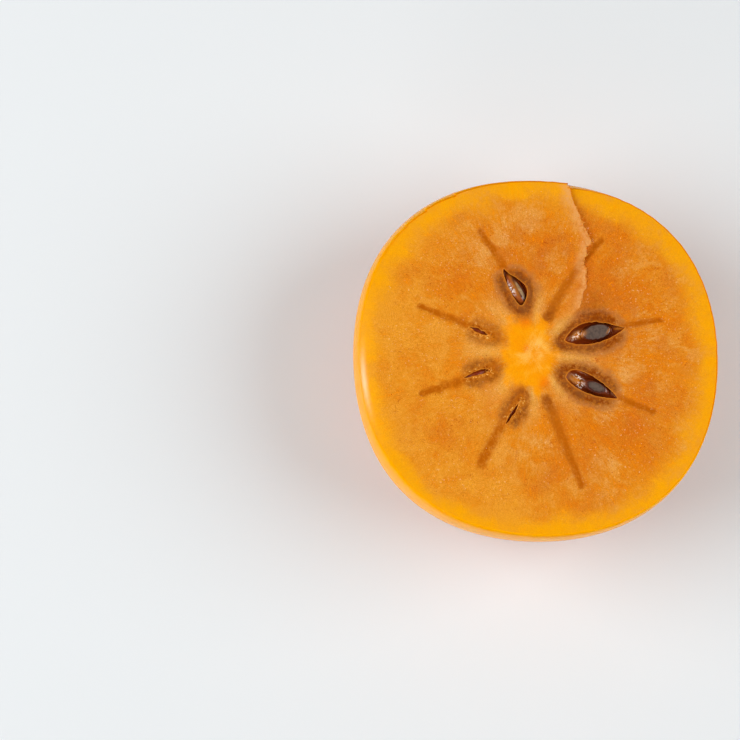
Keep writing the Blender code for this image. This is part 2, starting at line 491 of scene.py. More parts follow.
@dataclass(frozen=True)
class FleshFinish(Finish):
    """Moist cut flesh: mottled orange and tan, yellow at core and rim, browned round the seeds."""

    core_place: Pair = (-0.7, 0.9)
    pale: Colour = paint(229, 158, 76)
    middle: Colour = paint(223, 130, 24)
    orange: Colour = paint(219, 108, 0)
    rose: Colour = paint(204, 112, 38)
    core: Colour = paint(255, 166, 0)
    core_warm: Colour = paint(248, 126, 0)
    cream: Colour = paint(255, 202, 104)
    ray: Colour = paint(238, 178, 88)
    honey: Colour = paint(234, 152, 38)
    inner_rim: Colour = paint(240, 158, 28)
    outer_rim: Colour = paint(249, 166, 0)
    groove: Colour = paint(186, 92, 0)
    halo: Colour = paint(142, 60, 0)
    halo_grey: Colour = paint(140, 76, 30)
    halo_rim: Colour = paint(200, 136, 82)
    gold: Colour = paint(226, 138, 12)
    # Painted highlight along the openings' edges.
    lip: Colour = paint(236, 146, 44)
    jelly: Colour = paint(140, 50, 0)
    # Painted shade: the jelly's colour deep inside a chamber.
    hollow: Colour = paint(84, 22, 0)
    # Painted light: the glow that lightens the shaded hollows.
    deep_glow: Colour = paint(112, 42, 2)
    # Amber: painted light that comes through the jelly.
    amber: Colour = paint(206, 122, 18)
    # Painted highlight: pale specks where the wet jelly catches the light.
    painted_highlight: Colour = paint(255, 236, 218)
    fringe: Colour = paint(234, 166, 96)
    speck: Colour = paint(178, 48, 0)
    # Painted glint of wet flesh.
    painted_glint: Colour = paint(255, 222, 166)
    grain: tuple[Pair, ...] = ((1.0, 0.2), (1.7, 0.5), (3.0, 1.9))

    def surface(self, sheet: Sheet, place: Value) -> dict[str, Any]:
        """Paint the flesh.

        Args:
            sheet: The material's node sheet.
            place: Object coordinates.

        Returns:
            The shader's sockets.
        """
        fibres = self._fibres(sheet, place)
        clumps = sheet.noise(place, 240, 6, 0.62, 0.6)
        drifts = sheet.noise(place, 90, 3, 0.5, 0.6)
        flecks = sheet.noise(place, 1000, 4, 0.65, 0.5)
        mottle = sheet.noise(place, 1500, 4, 0.75)
        strand = sheet.noise(place, 1700, 3, 0.6)
        pores = sheet.noise(place, 1100, 5, 0.7)
        tone, rim, ray, honey, core = sheet.attributes("tone", "rim", "ray", "honey", "core")
        hollow, halo, ash, groove, gold = sheet.attributes("hollow", "halo", "ash", "groove", "gold")
        fringe, lip, gloss = sheet.attributes("fringe", "lip", "gloss")
        warmth = clumps * 2.1 + drifts * 1.3 + flecks * 0.9 + fibres * 0.9 + tone * 0.4 - 2.12
        blush = sheet.noise(place, 150, 4, 0.6).eased(0.48, 0.68) * (1 - rim)
        edge = rim + (clumps - 0.5) * 1.3 + (flecks - 0.5) * 0.5 + (drifts - 0.5) * 0.7
        colour = sheet.layers(
            sheet.ramp(warmth, self.pale, self.middle, self.orange),
            (blush * 0.5 + tone * 0.3, self.rose),
            # Honey: a paler tint, partly the flesh's own colour, partly painted light from the left.
            (honey * (1.05 - warmth * 0.8), self.honey),
            (ray * (clumps * 1.4 + flecks - 0.45), self.ray),
            (edge.eased(0.0, 1.1) * 0.92, self.inner_rim),
            (edge.eased(0.5, 1.3), self.outer_rim),
        )
        colour = self._core(sheet, colour, core, fibres, clumps)
        colour = self._fine_detail(sheet, place, colour, rim + core)
        ring = sheet.blend(clumps.eased(0.4, 0.6), self.halo, self.halo_grey)
        band = groove * (0.35 + mottle.eased(0.38, 0.56) * 0.45 + fibres * 0.4) * (1 - halo * 0.6)
        colour = sheet.layers(
            colour,
            (gold * (0.2 + mottle * 0.8), self.gold),
            (ash * (mottle * 1.6 + 0.2), self.halo_rim),
            (halo * (mottle * 2.7 - 0.4), ring),
            (band, self.groove),
            (gold * strand.eased(0.52, 0.62) * 0.8, self.jelly),
            # Pale flecks on the slits' golden lips: partly fibres, partly painted glints.
            (gold * strand.eased(0.42, 0.34) * 0.8, self.cream),
            (fringe * (mottle * 2.6 - 0.6), self.fringe),
            # Painted highlight: a thin bright line where the openings' edges catch the light.
            (lip * (mottle * 2.6 - 0.7), self.lip),
            ((hollow * 3).eased(0.0, 1.0), self._inside(sheet, place, hollow)),
        )
        return {
            "Base Color": colour,
            "Roughness": 0.58 - mottle * 0.2 - hollow * 0.34 - halo * 0.1,
            "Normal": sheet.bump(pores * 0.7 + fibres * 0.3, 0.55, 0.16),
            "Coat Weight": hollow * 0.08 + gloss,
            "Coat Roughness": 0.12,
            "Coat IOR": 2.0,
            # Painted light: the hollows glow, most in the slits, to lighten their shade.
            "Emission Color": sheet.blend(hollow * (gold * 0.75 + 0.18), paint(0, 0, 0), self.deep_glow),
            "Emission Strength": 1.0,
            "Subsurface Weight": 0.08,
            "Subsurface Radius": (1.0, 0.35, 0.05),
            "Subsurface Scale": 0.001,
            "Specular IOR Level": 0.3,
            "Specular Tint": (1.0, 0.5, 0.12, 1.0),
        }

    def _core(self, sheet: Sheet, colour: Value, core: Value, fibres: Value, clumps: Value) -> Value:
        """Paint the yellow star of the core, with pale flames and warmer spots.

        Args:
            sheet: The material's node sheet.
            colour: The colour so far.
            core: How much a place belongs to the star.
            fibres: Fibres along the radius.
            clumps: Noise of the size of the mottling.

        Returns:
            The colour with the core.
        """
        ember, cream = sheet.attributes("ember", "cream")
        middle = sheet.layers(
            self.core,
            ((fibres + clumps - 0.72).eased(0.0, 0.5) * 0.4, self.core_warm),
            (ember * (0.4 + clumps), self.core_warm),
        )
        share = (core + (clumps + fibres - 1.0) * 1.6 * (1 - core)).eased(0.1, 0.95)
        flames = (cream + (0.86 - clumps - fibres * 0.7) * 2.4).eased(0.2, 1.1)
        return sheet.layers(colour, (share, middle), (flames * (0.25 * core + cream), self.cream))

    def _inside(self, sheet: Sheet, place: Value, hollow: Value) -> Value:
        """Paint the brown jelly of a seed's chamber: amber where light comes through, painted shade deeper
        in.

        Args:
            sheet: The material's node sheet.
            place: Object coordinates.
            hollow: How deep inside a place is.

        Returns:
            The colour.
        """
        amber, painted_highlight = sheet.attributes("amber", "painted_highlight")
        swirl = sheet.noise(place, 900, 4, 0.65)
        return sheet.layers(
            self.jelly,
            # Painted shade: the jelly darkens deeper into the chamber.
            ((hollow + (swirl - 0.5) * 0.8).eased(0.2, 0.9), self.hollow),
            (amber * (0.2 + swirl * 1.4), self.amber),
            # Painted highlights on the wet jelly.
            (painted_highlight * sheet.noise(place, 2600, 2, 0.5).eased(0.47, 0.56), self.painted_highlight),
        )

    def _fibres(self, sheet: Sheet, place: Value) -> Value:
        """Add fine fibres that run out from the core.

        Args:
            sheet: The material's node sheet.
            place: Object coordinates.

        Returns:
            Noise of 0 to 1, drawn out along the radius.
        """
        centre = tuple(share * MM for share in (*self.core_place, 0.0))
        arm = sheet.vectors("SUBTRACT", place, centre)["Vector"]
        flat = sheet.vectors("MULTIPLY", arm, (1, 1, 0))["Vector"]
        way = sheet.vectors("NORMALIZE", flat)["Vector"]
        round_core = sheet.vectors("MULTIPLY", way, (62.0, 62.0, 62.0))["Vector"]
        along = sheet.vector(z=sheet.vectors("LENGTH", flat)["Value"] * 420)
        return sheet.noise(sheet.vectors("ADD", round_core, along)["Vector"], 1.0, 3, 0.6)

    def _fine_detail(self, sheet: Sheet, place: Value, colour: Value, quiet: Value) -> Value:
        """Add what is a pixel or two across in a photograph: grain, brown specks and painted glints of wet
        cells.

        Args:
            sheet: The material's node sheet.
            place: Object coordinates.
            colour: The colour so far.
            quiet: How smooth a place is, as at the core and the rim.

        Returns:
            The colour with its detail.
        """
        grain = sheet.noise(place, 4600, 3, 0.75) - 0.5
        medium = sheet.noise(place, 1800, 3, 0.6) - 0.5
        calm = 1 - quiet * 0.6
        gains = {
            channel: (1 + (grain * fine + medium * coarse) * calm).least(0.05)
            for channel, (fine, coarse) in enumerate(self.grain)
        }
        shade = sheet.node("ShaderNodeCombineColor", gains)["Color"]
        patches = sheet.noise(place, 190, 3, 0.6)
        ridge = (sheet.noise(place, 800, 2, 0.5, 0.8) - 0.5).size()
        thread = ridge.eased(0.03, 0.0) * sheet.noise(place, 420, 2).eased(0.54, 0.64)
        rust = (sheet.dots(place, 1.2, 0.15, 0.6) + thread * 0.6) * patches.eased(0.4, 0.54)
        # Painted highlights: small glints where the wet flesh catches the light.
        wet = sheet.noise(place, 1900, 3, 0.6).eased(0.6, 0.72) * patches.eased(0.56, 0.42)
        return sheet.layers(
            sheet.blend(1.0, colour, shade, "MULTIPLY"),
            (rust * (1 - quiet) * 0.85, self.speck),
            (wet * (1 - quiet) * 0.4, self.painted_glint),
        )


@dataclass(frozen=True)
class SkinFinish(Finish):
    """Waxy orange skin with fine pale dots, deeper in colour towards the blossom end."""

    shoulder: Colour = paint(255, 162, 0)
    edge: Colour = paint(226, 118, 0)
    belly: Colour = paint(248, 146, 0)
    blossom: Colour = paint(228, 104, 6)
    bloom: Colour = paint(252, 180, 40)
    dot: Colour = paint(252, 190, 84)
    scuff: Colour = paint(120, 58, 22)

    def surface(self, sheet: Sheet, place: Value) -> dict[str, Any]:
        """Paint the skin.

        Args:
            sheet: The material's node sheet.
            place: Object coordinates.

        Returns:
            The shader's sockets.
        """
        edge, scar, gloss = sheet.attributes("edge", "scar", "gloss")
        height = sheet.parts(place)[2] * 1000
        drift = sheet.noise(place, 60, 4, 0.55) - 0.5
        cloud = sheet.noise(place, 340, 4, 0.65)
        dots = sheet.dots(place, 1.1, 0.16, 0.55)
        marks = sheet.dots(place, 5.2, 0.3, 0.12) * sheet.noise(place, 1500, 2).eased(0.35, 0.6)
        relief = sheet.noise(place, 2400, 2, 0.5) * 0.25 + dots * 0.4 + cloud * 0.6
        colour = sheet.layers(
            self.shoulder,
            ((height + drift * 12).eased(32.0, 16.0), self.belly),
            ((height + drift * 16).eased(26.0, 4.0) * 0.75, self.blossom),
            (cloud.eased(0.42, 0.78) * 0.28, self.bloom),
            (dots * 0.5, self.dot),
            (marks * 0.75, self.scuff),
            (scar * (0.4 + cloud), self.scuff),
            (edge * 0.7, self.edge),
        )
        return {
            "Base Color": colour,
            "Roughness": 0.34 + cloud * 0.16 + scar * 0.3,
            "Normal": sheet.bump(relief, 0.3, 0.12),
            "Coat Weight": height.eased(35.0, 33.0) * (0.48 - edge * 0.4) + gloss * 0.8,
            "Coat Roughness": 0.12,
            "Specular IOR Level": 0.0,
            "Subsurface Weight": 0.35,
            "Subsurface Radius": (1.0, 0.6, 0.05),
            "Subsurface Scale": 0.003,
        }


@dataclass(frozen=True)
class SeedFinish(Finish):
    """Wet brown seed coat, and the grey or pale inside where the knife met it."""

    coat: Colour = paint(88, 28, 2)
    coat_light: Colour = paint(126, 48, 4)
    coat_dark: Colour = paint(58, 16, 4)
    gloss: float = 0.6
    inside: Colour = paint(95, 74, 61)
    inside_dark: Colour = paint(72, 54, 43)
    ring: Colour = paint(60, 26, 14)
    # Amber: painted light that comes through the jelly over the seed.
    amber: Colour = paint(206, 122, 18)
    # Painted highlight: pale specks where the wet seed coat catches the light.
    painted_highlight: Colour = paint(255, 236, 222)

    def surface(self, sheet: Sheet, place: Value) -> dict[str, Any]:
        """Paint the seed.

        Args:
            sheet: The material's node sheet.
            place: Object coordinates.

        Returns:
            The shader's sockets.
        """
        cut, ring, amber, painted_highlight = sheet.attributes("cut", "ring", "amber", "painted_highlight")
        drawn = sheet.node("ShaderNodeMapping", {"Vector": place, "Scale": (1.0, 1.0, 0.28)})["Vector"]
        cloud = sheet.noise(place, 420, 4, 0.6)
        lines = sheet.noise(drawn, 2600, 3, 0.6)
        flesh = sheet.blend(sheet.noise(place, 1900, 3).eased(0.35, 0.7), self.inside, self.inside_dark)
        colour = sheet.layers(
            self.coat,
            (cloud.eased(0.35, 0.7), self.coat_light),
            (lines.eased(0.5, 0.75) * 0.6, self.coat_dark),
            (cut, flesh),
            (ring * 0.85, self.ring),
            # Amber patches: painted light coming through the jelly.
            (amber * (0.3 + cloud), self.amber),
            # Painted highlights on the wet seed coat.
            (painted_highlight * sheet.noise(place, 2600, 2, 0.5).eased(0.47, 0.56), self.painted_highlight),
        )
        return {
            "Base Color": colour,
            "Roughness": 0.2 + cut * 0.26 + cloud * 0.1,
            "Normal": sheet.bump(lines * 0.5 + cloud * 0.8, 0.5, 0.25),
            "Coat Weight": (1 - cut * 0.92) * self.gloss,
            "Coat Roughness": 0.06,
        }


@dataclass(frozen=True)
class MottledFinish(Finish):
    """Two colours that drift into each other, for the small pieces and the table."""

    base: Colour
    other: Colour
    scale: float
    detail: float
    rough: float
    roughness: Pair
    drift: Pair | None = None
    share: float = 1.0
    relief: float = 0.0
    fixed: tuple[tuple[str, float], ...] = ()

    def surface(self, sheet: Sheet, place: Value) -> dict[str, Any]:
        """Paint the piece.

        Args:
            sheet: The material's node sheet.
            place: Object coordinates.

        Returns:
            The shader's sockets.
        """
        patches = sheet.noise(place, self.scale, self.detail, self.rough)
        other = patches.eased(*self.drift) if self.drift else patches
        least, gain = self.roughness
        sockets = {
            "Base Color": sheet.blend(other * self.share, self.base, self.other),
            "Roughness": least + patches * gain,
            **dict(self.fixed),
        }
        if self.relief:
            sockets["Normal"] = sheet.bump(patches, self.relief, 0.2)
        return sockets


TABLETOP = MottledFinish(
    "tabletop",
    base=paint(232, 236, 238),
    other=paint(214, 214, 216),
    scale=30,
    detail=3,
    rough=0.5,
    roughness=(0.55, 0.1),
    share=0.03,
)
DRY_STYLE = MottledFinish(
    "dry_style",
    base=paint(58, 34, 22),
    other=paint(128, 92, 58),
    scale=2800,
    detail=4,
    rough=0.65,
    roughness=(0.72, 0.2),
    drift=(0.4, 0.75),
    relief=0.7,
)
TORN_FLESH = MottledFinish(
    "torn_flesh",
    base=paint(232, 138, 20),
    other=paint(250, 186, 86),
    scale=1600,
    detail=3,
    rough=0.6,
    roughness=(0.3, 0.2),
    drift=(0.35, 0.7),
    fixed=(("Specular IOR Level", 0.12),),
)
JUICE = MottledFinish(
    "juice",
    base=paint(255, 214, 150),
    other=paint(240, 160, 60),
    scale=700,
    detail=2,
    rough=0.5,
    roughness=(0.05, 0.1),
    drift=(0.35, 0.65),
    fixed=(("Coat Weight", 0.8), ("Coat Roughness", 0.03)),
)


class Surface(Enum):
    """Which of a piece's materials a face has."""

    FLESH = 0
    SKIN = 1


class Tint(Enum):
    """What a mark in a chamber paints: amber where light comes through the jelly, or a painted highlight."""

    AMBER = "amber"
    PAINTED_HIGHLIGHT = "painted_highlight"


@dataclass(frozen=True)
class Mark:
    """A soft-edged spot in or beside a seed, in millimetres from the core."""

    tint: Tint
    place: Pair
    half_length: float
    half_width: float
    turn: float
    strength: float = 1.0

    def share(self, x: Array, y: Array) -> Array:
        """Tell how strong the mark is.

        Args:
            x: Places' x, from the core.
            y: Places' y, from the core.

        Returns:
            0 to its strength.
        """
        turn = math.radians(self.turn)
        off_x, off_y = x - self.place[0], y - self.place[1]
        along = (off_x * math.cos(turn) + off_y * math.sin(turn)) / self.half_length
        across = (off_y * math.cos(turn) - off_x * math.sin(turn)) / self.half_width
        return self.strength * bell(along**2 + across**2, 1.0, 1.5)


class Shell:
    """Points, faces and point values of one mesh while it is put together, in millimetres."""

    def __init__(self) -> None:
        """Start empty."""
        self.points: list[Array] = []
        self.faces: list[tuple[int, ...]] = []
        self.surfaces: list[int] = []
        self.values: dict[str, list[tuple[int, Array]]] = {}
        self.count = 0

    def add_points(self, points: Array, **values: Array | float) -> Array:
        """Add points with their values.

        Args:
            points: One row each.
            values: For each attribute, one number or one per point.

        Returns:
            The new points' numbers.
        """
        start = self.count
        self.points.append(np.asarray(points, dtype=float))
        self.count += len(points)
        for name, value in values.items():
            spread = np.broadcast_to(np.asarray(value, dtype=float), (len(points),))
            self.values.setdefault(name, []).append((start, spread))
        return np.arange(start, self.count)

    def add_faces(self, faces: Sequence[Sequence[int]], surface: Surface) -> None:
        """Add faces of one surface."""
        self.faces.extend(tuple(int(corner) for corner in face) for face in faces)
        self.surfaces.extend([surface.value] * len(faces))

    def bridge(self, upper: Array, lower: Array, surface: Surface) -> None:
        """Join two closed rows, seen from outside the upper one running to the right.

        Args:
            upper: Numbers of the upper row's points.
            lower: Numbers of the lower row's points.
            surface: The faces' surface.
        """
        after_up, after_low = np.roll(upper, -1), np.roll(lower, -1)
        self.add_faces(np.stack([upper, lower, after_low, after_up], axis=1), surface)

    def cap(self, row: Array, middle: Array, surface: Surface, **values: float) -> None:
        """Close a row with a fan to one middle point.

        Args:
            row: Numbers of the row's points.
            middle: The middle point.
            surface: The faces' surface.
            values: The middle point's values.
        """
        hub = self.add_points(np.asarray([middle]), **values)[0]
        self.add_faces([(here, hub, after) for here, after in zip(row, np.roll(row, -1))], surface)

    def middle(self, row: Array) -> Array:
        """Find the middle of a row of points."""
        return np.concatenate(self.points)[row].mean(axis=0)

    def close_gaps(self, surface: Surface) -> None:
        """Fill three-sided gaps, such as those where the step runs out through the rim.

        Args:
            surface: What the new faces show.
        """
        used = {side for face in self.faces for side in zip(face, (*face[1:], face[0]))}
        onward: dict[int, set[int]] = {}
        for first, second in used:
            if (second, first) not in used:
                onward.setdefault(second, set()).add(first)
        gaps = [
            (here, after, last)
            for here in sorted(onward)
            for after in sorted(onward[here])
            for last in sorted(onward.get(after, ()))
            if here < min(after, last) and here in onward.get(last, ())
        ]
        self.add_faces(gaps, surface)

    def to_object(self, name: str, *finishes: Finish, sharp: float = 50.0) -> bpy.types.Object:
        """Make the mesh and its object.

        Args:
            name: The piece's name.
            finishes: One for each surface.
            sharp: Edges that turn more than this many degrees stay crisp.

        Returns:
            The object, linked to the scene.
        """
        mesh = bpy.data.meshes.new(name)
        mesh.from_pydata((np.concatenate(self.points) * MM).tolist(), [], self.faces)
        for finish in finishes:
            mesh.materials.append(finish.material())
        mesh.polygons.foreach_set("material_index", np.array(self.surfaces, dtype=np.int32))
        for attribute, pieces in self.values.items():
            filled = np.zeros(self.count)
            for start, values in pieces:
                filled[start : start + len(values)] = values
            write_values(mesh, attribute, filled)
        mesh.validate()
        mesh.shade_smooth()
        mesh.set_sharp_from_angle(angle=math.radians(sharp))
        mesh.update()
        return add_object(name, mesh)


@dataclass(frozen=True)
class FruitForm:
    """How the whole fruit grew, in millimetres."""

    mean_radius: float = 39.64
    blossom_height: float = 28.0
    calyx_height: float = 26.0
    boxiness: float = 2.45
    lopsidedness: float = math.radians(3.2)
    waves: tuple[Point, ...] = (
        (1, 0.007, math.radians(170)),
        (2, 0.012, math.radians(-39)),
        (3, 0.004, math.radians(17)),
        (4, 0.0185, math.radians(44)),
    )
    furrow_depth: float = 0.55
    furrow_crest: float = math.radians(44)
    dimple_depth: float = 3.0
    dimple_radius: float = 6.0
    flat_spot_trim: float = 0.45
    shift: Array = field(default_factory=lambda: np.zeros(3))

    def outline(self, azimuth: Array) -> Array:
        """Give the fruit's girth as a share of its mean radius."""
        return 1 + sum(share * np.cos(count * (azimuth - crest)) for count, share, crest in self.waves)

    def point(self, azimuth: Array, polar: Array) -> Array:
        """Find points of the skin.

        Args:
            azimuth: Directions round the fruit.
            polar: Angles from the blossom end.

        Returns:
            One row for each point.
        """
        power = 2 / self.boxiness
        sine, cosine = np.sin(polar), np.cos(polar)
        radius = self.mean_radius * self.outline(azimuth) * np.abs(sine) ** power
        half = np.where(cosine > 0, self.blossom_height, self.calyx_height)
        height = -half * np.sign(cosine) * np.abs(cosine) ** power
        reach = radius / self.mean_radius
        furrow = 0.5 - 0.5 * np.cos(4 * (azimuth - self.furrow_crest))
        below = self.furrow_depth * furrow * 4 * reach * (1 - reach)
        below = below + self.dimple_depth * bell(radius, self.dimple_radius)
        height = height + np.where(cosine > 0, below, 0.0)
        x, y = radius * np.cos(azimuth), radius * np.sin(azimuth)
        share_up = np.clip(1 + height / self.blossom_height, 0, 1)
        height = height + x * math.tan(self.lopsidedness) * share_up**2
        return np.stack([x, y, height], axis=-1) + self.shift

    def pole(self) -> Array:
        """Find the middle of the blossom end."""
        return self.point(np.zeros(1), np.full(1, 1e-4))[0]

    def settled(self) -> "FruitForm":
        """Place the fruit over its footprint, resting on its flat spot.

        Returns:
            The same fruit, shifted.
        """
        azimuth = np.linspace(0, TURN, 721)[None, :]
        polar = np.linspace(0.02, math.radians(116), 400)[:, None]
        points = self.point(*np.broadcast_arrays(azimuth, polar)).reshape(-1, 3)
        low, high = points.min(axis=0), points.max(axis=0)
        middle = (low + high) / 2
        return replace(self, shift=np.array([-middle[0], -middle[1], -low[2] - self.flat_spot_trim]))


@dataclass(frozen=True)
class MouthSide:
    """One edge of an opening: its widest half-width, and how it runs out towards each end."""

    half: float
    inner: float
    outer: float

    def width(self, share: Array) -> Array:
        """Give the half-width along the opening.

        Args:
            share: Share of the way from the inner end to the tip.

        Returns:
            Half-widths in millimetres.
        """
        peak = self.inner / (self.inner + self.outer)
        top = peak**self.inner * (1 - peak) ** self.outer
        share = np.clip(share, 0, 1)
        return self.half * share**self.inner * (1 - share) ** self.outer / top


@dataclass(frozen=True)
class Mouth:
    """The opening that the knife left over a seed, in millimetres from the core."""

    inner_end: Pair
    direction: float
    length: float
    left: MouthSide
    right: MouthSide
    ragged: float = 0.05
    points: int = 160

    def outline(self, seed: int) -> Array:
        """Trace the opening.

        Args:
            seed: Which ragged edge it has.

        Returns:
            Points from the tip round by the left edge, one row each, from the core.
        """
        angle = circle(self.points)
        share = 0.5 + 0.5 * np.cos(angle)
        side = np.where(np.sin(angle) >= 0, self.left.width(share), -self.right.width(share))
        along = math.radians(self.direction)
        way = np.array([math.cos(along), math.sin(along)])
        across = np.array([-way[1], way[0]])
        flutter = self.ragged * ripple(share * self.length, np.sign(side) * 40.0, 1.1, seed)
        flutter = flutter * np.sin(angle) ** 2
        spine = np.array(self.inner_end) + share[:, None] * self.length * way
        return spine + (side + flutter)[:, None] * across


@dataclass(frozen=True)
class SeedForm:
    """One seed standing in its chamber, in millimetres."""

    along: float
    rise: float
    lean: Pair = (0.0, 0.0)
    stretch: Pair = (1.0, 1.0)
    pale_spot: tuple[float, float, float, float] | None = None
    length: float = 16.0
    width: float = 9.6
    thickness: float = 4.3
    roundness: float = 2.35
    taper: float = 0.16
    under_cut: float = 0.35


@dataclass(frozen=True)
class Chamber:
    """One of the eight chambers round the core, placed by its line in the cut face."""

    name: str
    inner: Pair
    outer: Pair
    bend: float
    line_width: float
    mouth: Mouth | None = None
    seed: SeedForm | None = None
    halo: float = 1.0
    taper: float = 0.45

    @property
    def slit(self) -> bool:
        """Tell whether the seed lies whole under a narrow slit."""
        return bool(self.seed) and self.seed.rise < -0.5

    def ends(self) -> list[Array]:
        """Give both ends of the line, from the core."""
        polar = ((distance, math.radians(turn)) for distance, turn in (self.inner, self.outer))
        return [distance * np.array([math.cos(turn), math.sin(turn)]) for distance, turn in polar]

    def path(self, trim: float = 0.0) -> Array:
        """Trace the line, slightly bent.

        Args:
            trim: Share of the line left off at each end.

        Returns:
            Its points from the core, one row each.
        """
        first, last = self.ends()
        run = last - first
        across = np.array([-run[1], run[0]]) / np.hypot(*run)
        share = np.linspace(trim, 1 - trim, 14)[:, None]
        return first + share * run + self.bend * 4 * share * (1 - share) * across


def persimmon_chambers() -> tuple[Chamber, ...]:
    """List the fruit's chambers.

    Returns:
        The eight chambers, those with seeds first.
    """
    return (
        Chamber(
            "right_upper",
            inner=(7.2, 20.6),
            outer=(29.1, 14.4),
            bend=0.55,
            line_width=1.15,
            mouth=Mouth(
                (6.81, 2.75), 12.0, 13.2, MouthSide(2.7, 0.87, 1.3), MouthSide(1.95, 0.75, 0.9), 0.09
            ),
            seed=SeedForm(7.0, 0.5, (0.15, 0.5), (0.95, 1.16), (0.0, 0.0, 2.6, 1.5)),
        ),
        Chamber(
            "right_lower",
            inner=(8.6, -36.0),
            outer=(29.3, -26.0),
            bend=0.1,
            line_width=1.25,
            mouth=Mouth(
                (6.98, -5.08), -23.0, 11.9, MouthSide(2.45, 0.3, 0.8), MouthSide(1.45, 0.75, 1.0), 0.06
            ),
            seed=SeedForm(6.3, 0.15, (0.35, 0.3), (1.0, 1.0), (0.15, 0.15, 1.7, 0.85)),
        ),
        Chamber(
            "top",
            inner=(10.5, 100.2),
            outer=(29.3, 113.4),
            bend=-0.6,
            line_width=1.4,
            mouth=Mouth(
                (-2.11, 10.32), 116.4, 8.75, MouthSide(1.0, 0.3, 0.4), MouthSide(2.36, 1.0, 1.8), 0.07
            ),
            seed=SeedForm(4.6, 0.0, (-0.7, -0.2), (1.15, 1.25), (-0.95, -0.75, 2.3, 0.34)),
        ),
        Chamber(
            "left_upper",
            inner=(7.6, 155.6),
            outer=(26.9, 157.4),
            bend=-0.2,
            line_width=1.3,
            mouth=Mouth(
                (-8.9, 3.5), 154.6, 5.2, MouthSide(0.42, 1.9, 1.6), MouthSide(0.44, 1.9, 1.6), 0.1, 96
            ),
            seed=SeedForm(5.4, -1.1),
            halo=0.62,
        ),
        Chamber(
            "left_lower",
            inner=(8.1, 199.9),
            outer=(26.4, 199.8),
            bend=0.3,
            line_width=1.5,
            mouth=Mouth(
                (-9.1, -3.9), 194.2, 5.8, MouthSide(0.14, 0.6, 0.6), MouthSide(0.84, 0.45, 1.0), 0.08, 96
            ),
            seed=SeedForm(4.9, -1.0),
            halo=0.86,
        ),
        Chamber(
            "bottom_left",
            inner=(8.1, -105.0),
            outer=(26.8, -115.2),
            bend=-0.3,
            line_width=1.5,
            mouth=Mouth(
                (-2.6, -10.0), 238.0, 6.1, MouthSide(0.28, 0.9, 0.7), MouthSide(0.3, 1.1, 0.7), 0.1, 96
            ),
            seed=SeedForm(5.2, -1.1),
            halo=0.98,
            taper=0.0,
        ),
        Chamber("top_right", inner=(7.5, 67.0), outer=(29.6, 58.2), bend=0.9, line_width=1.3),
        Chamber("bottom", inner=(9.4, -74.4), outer=(31.0, -70.0), bend=0.1, line_width=1.45),
    )


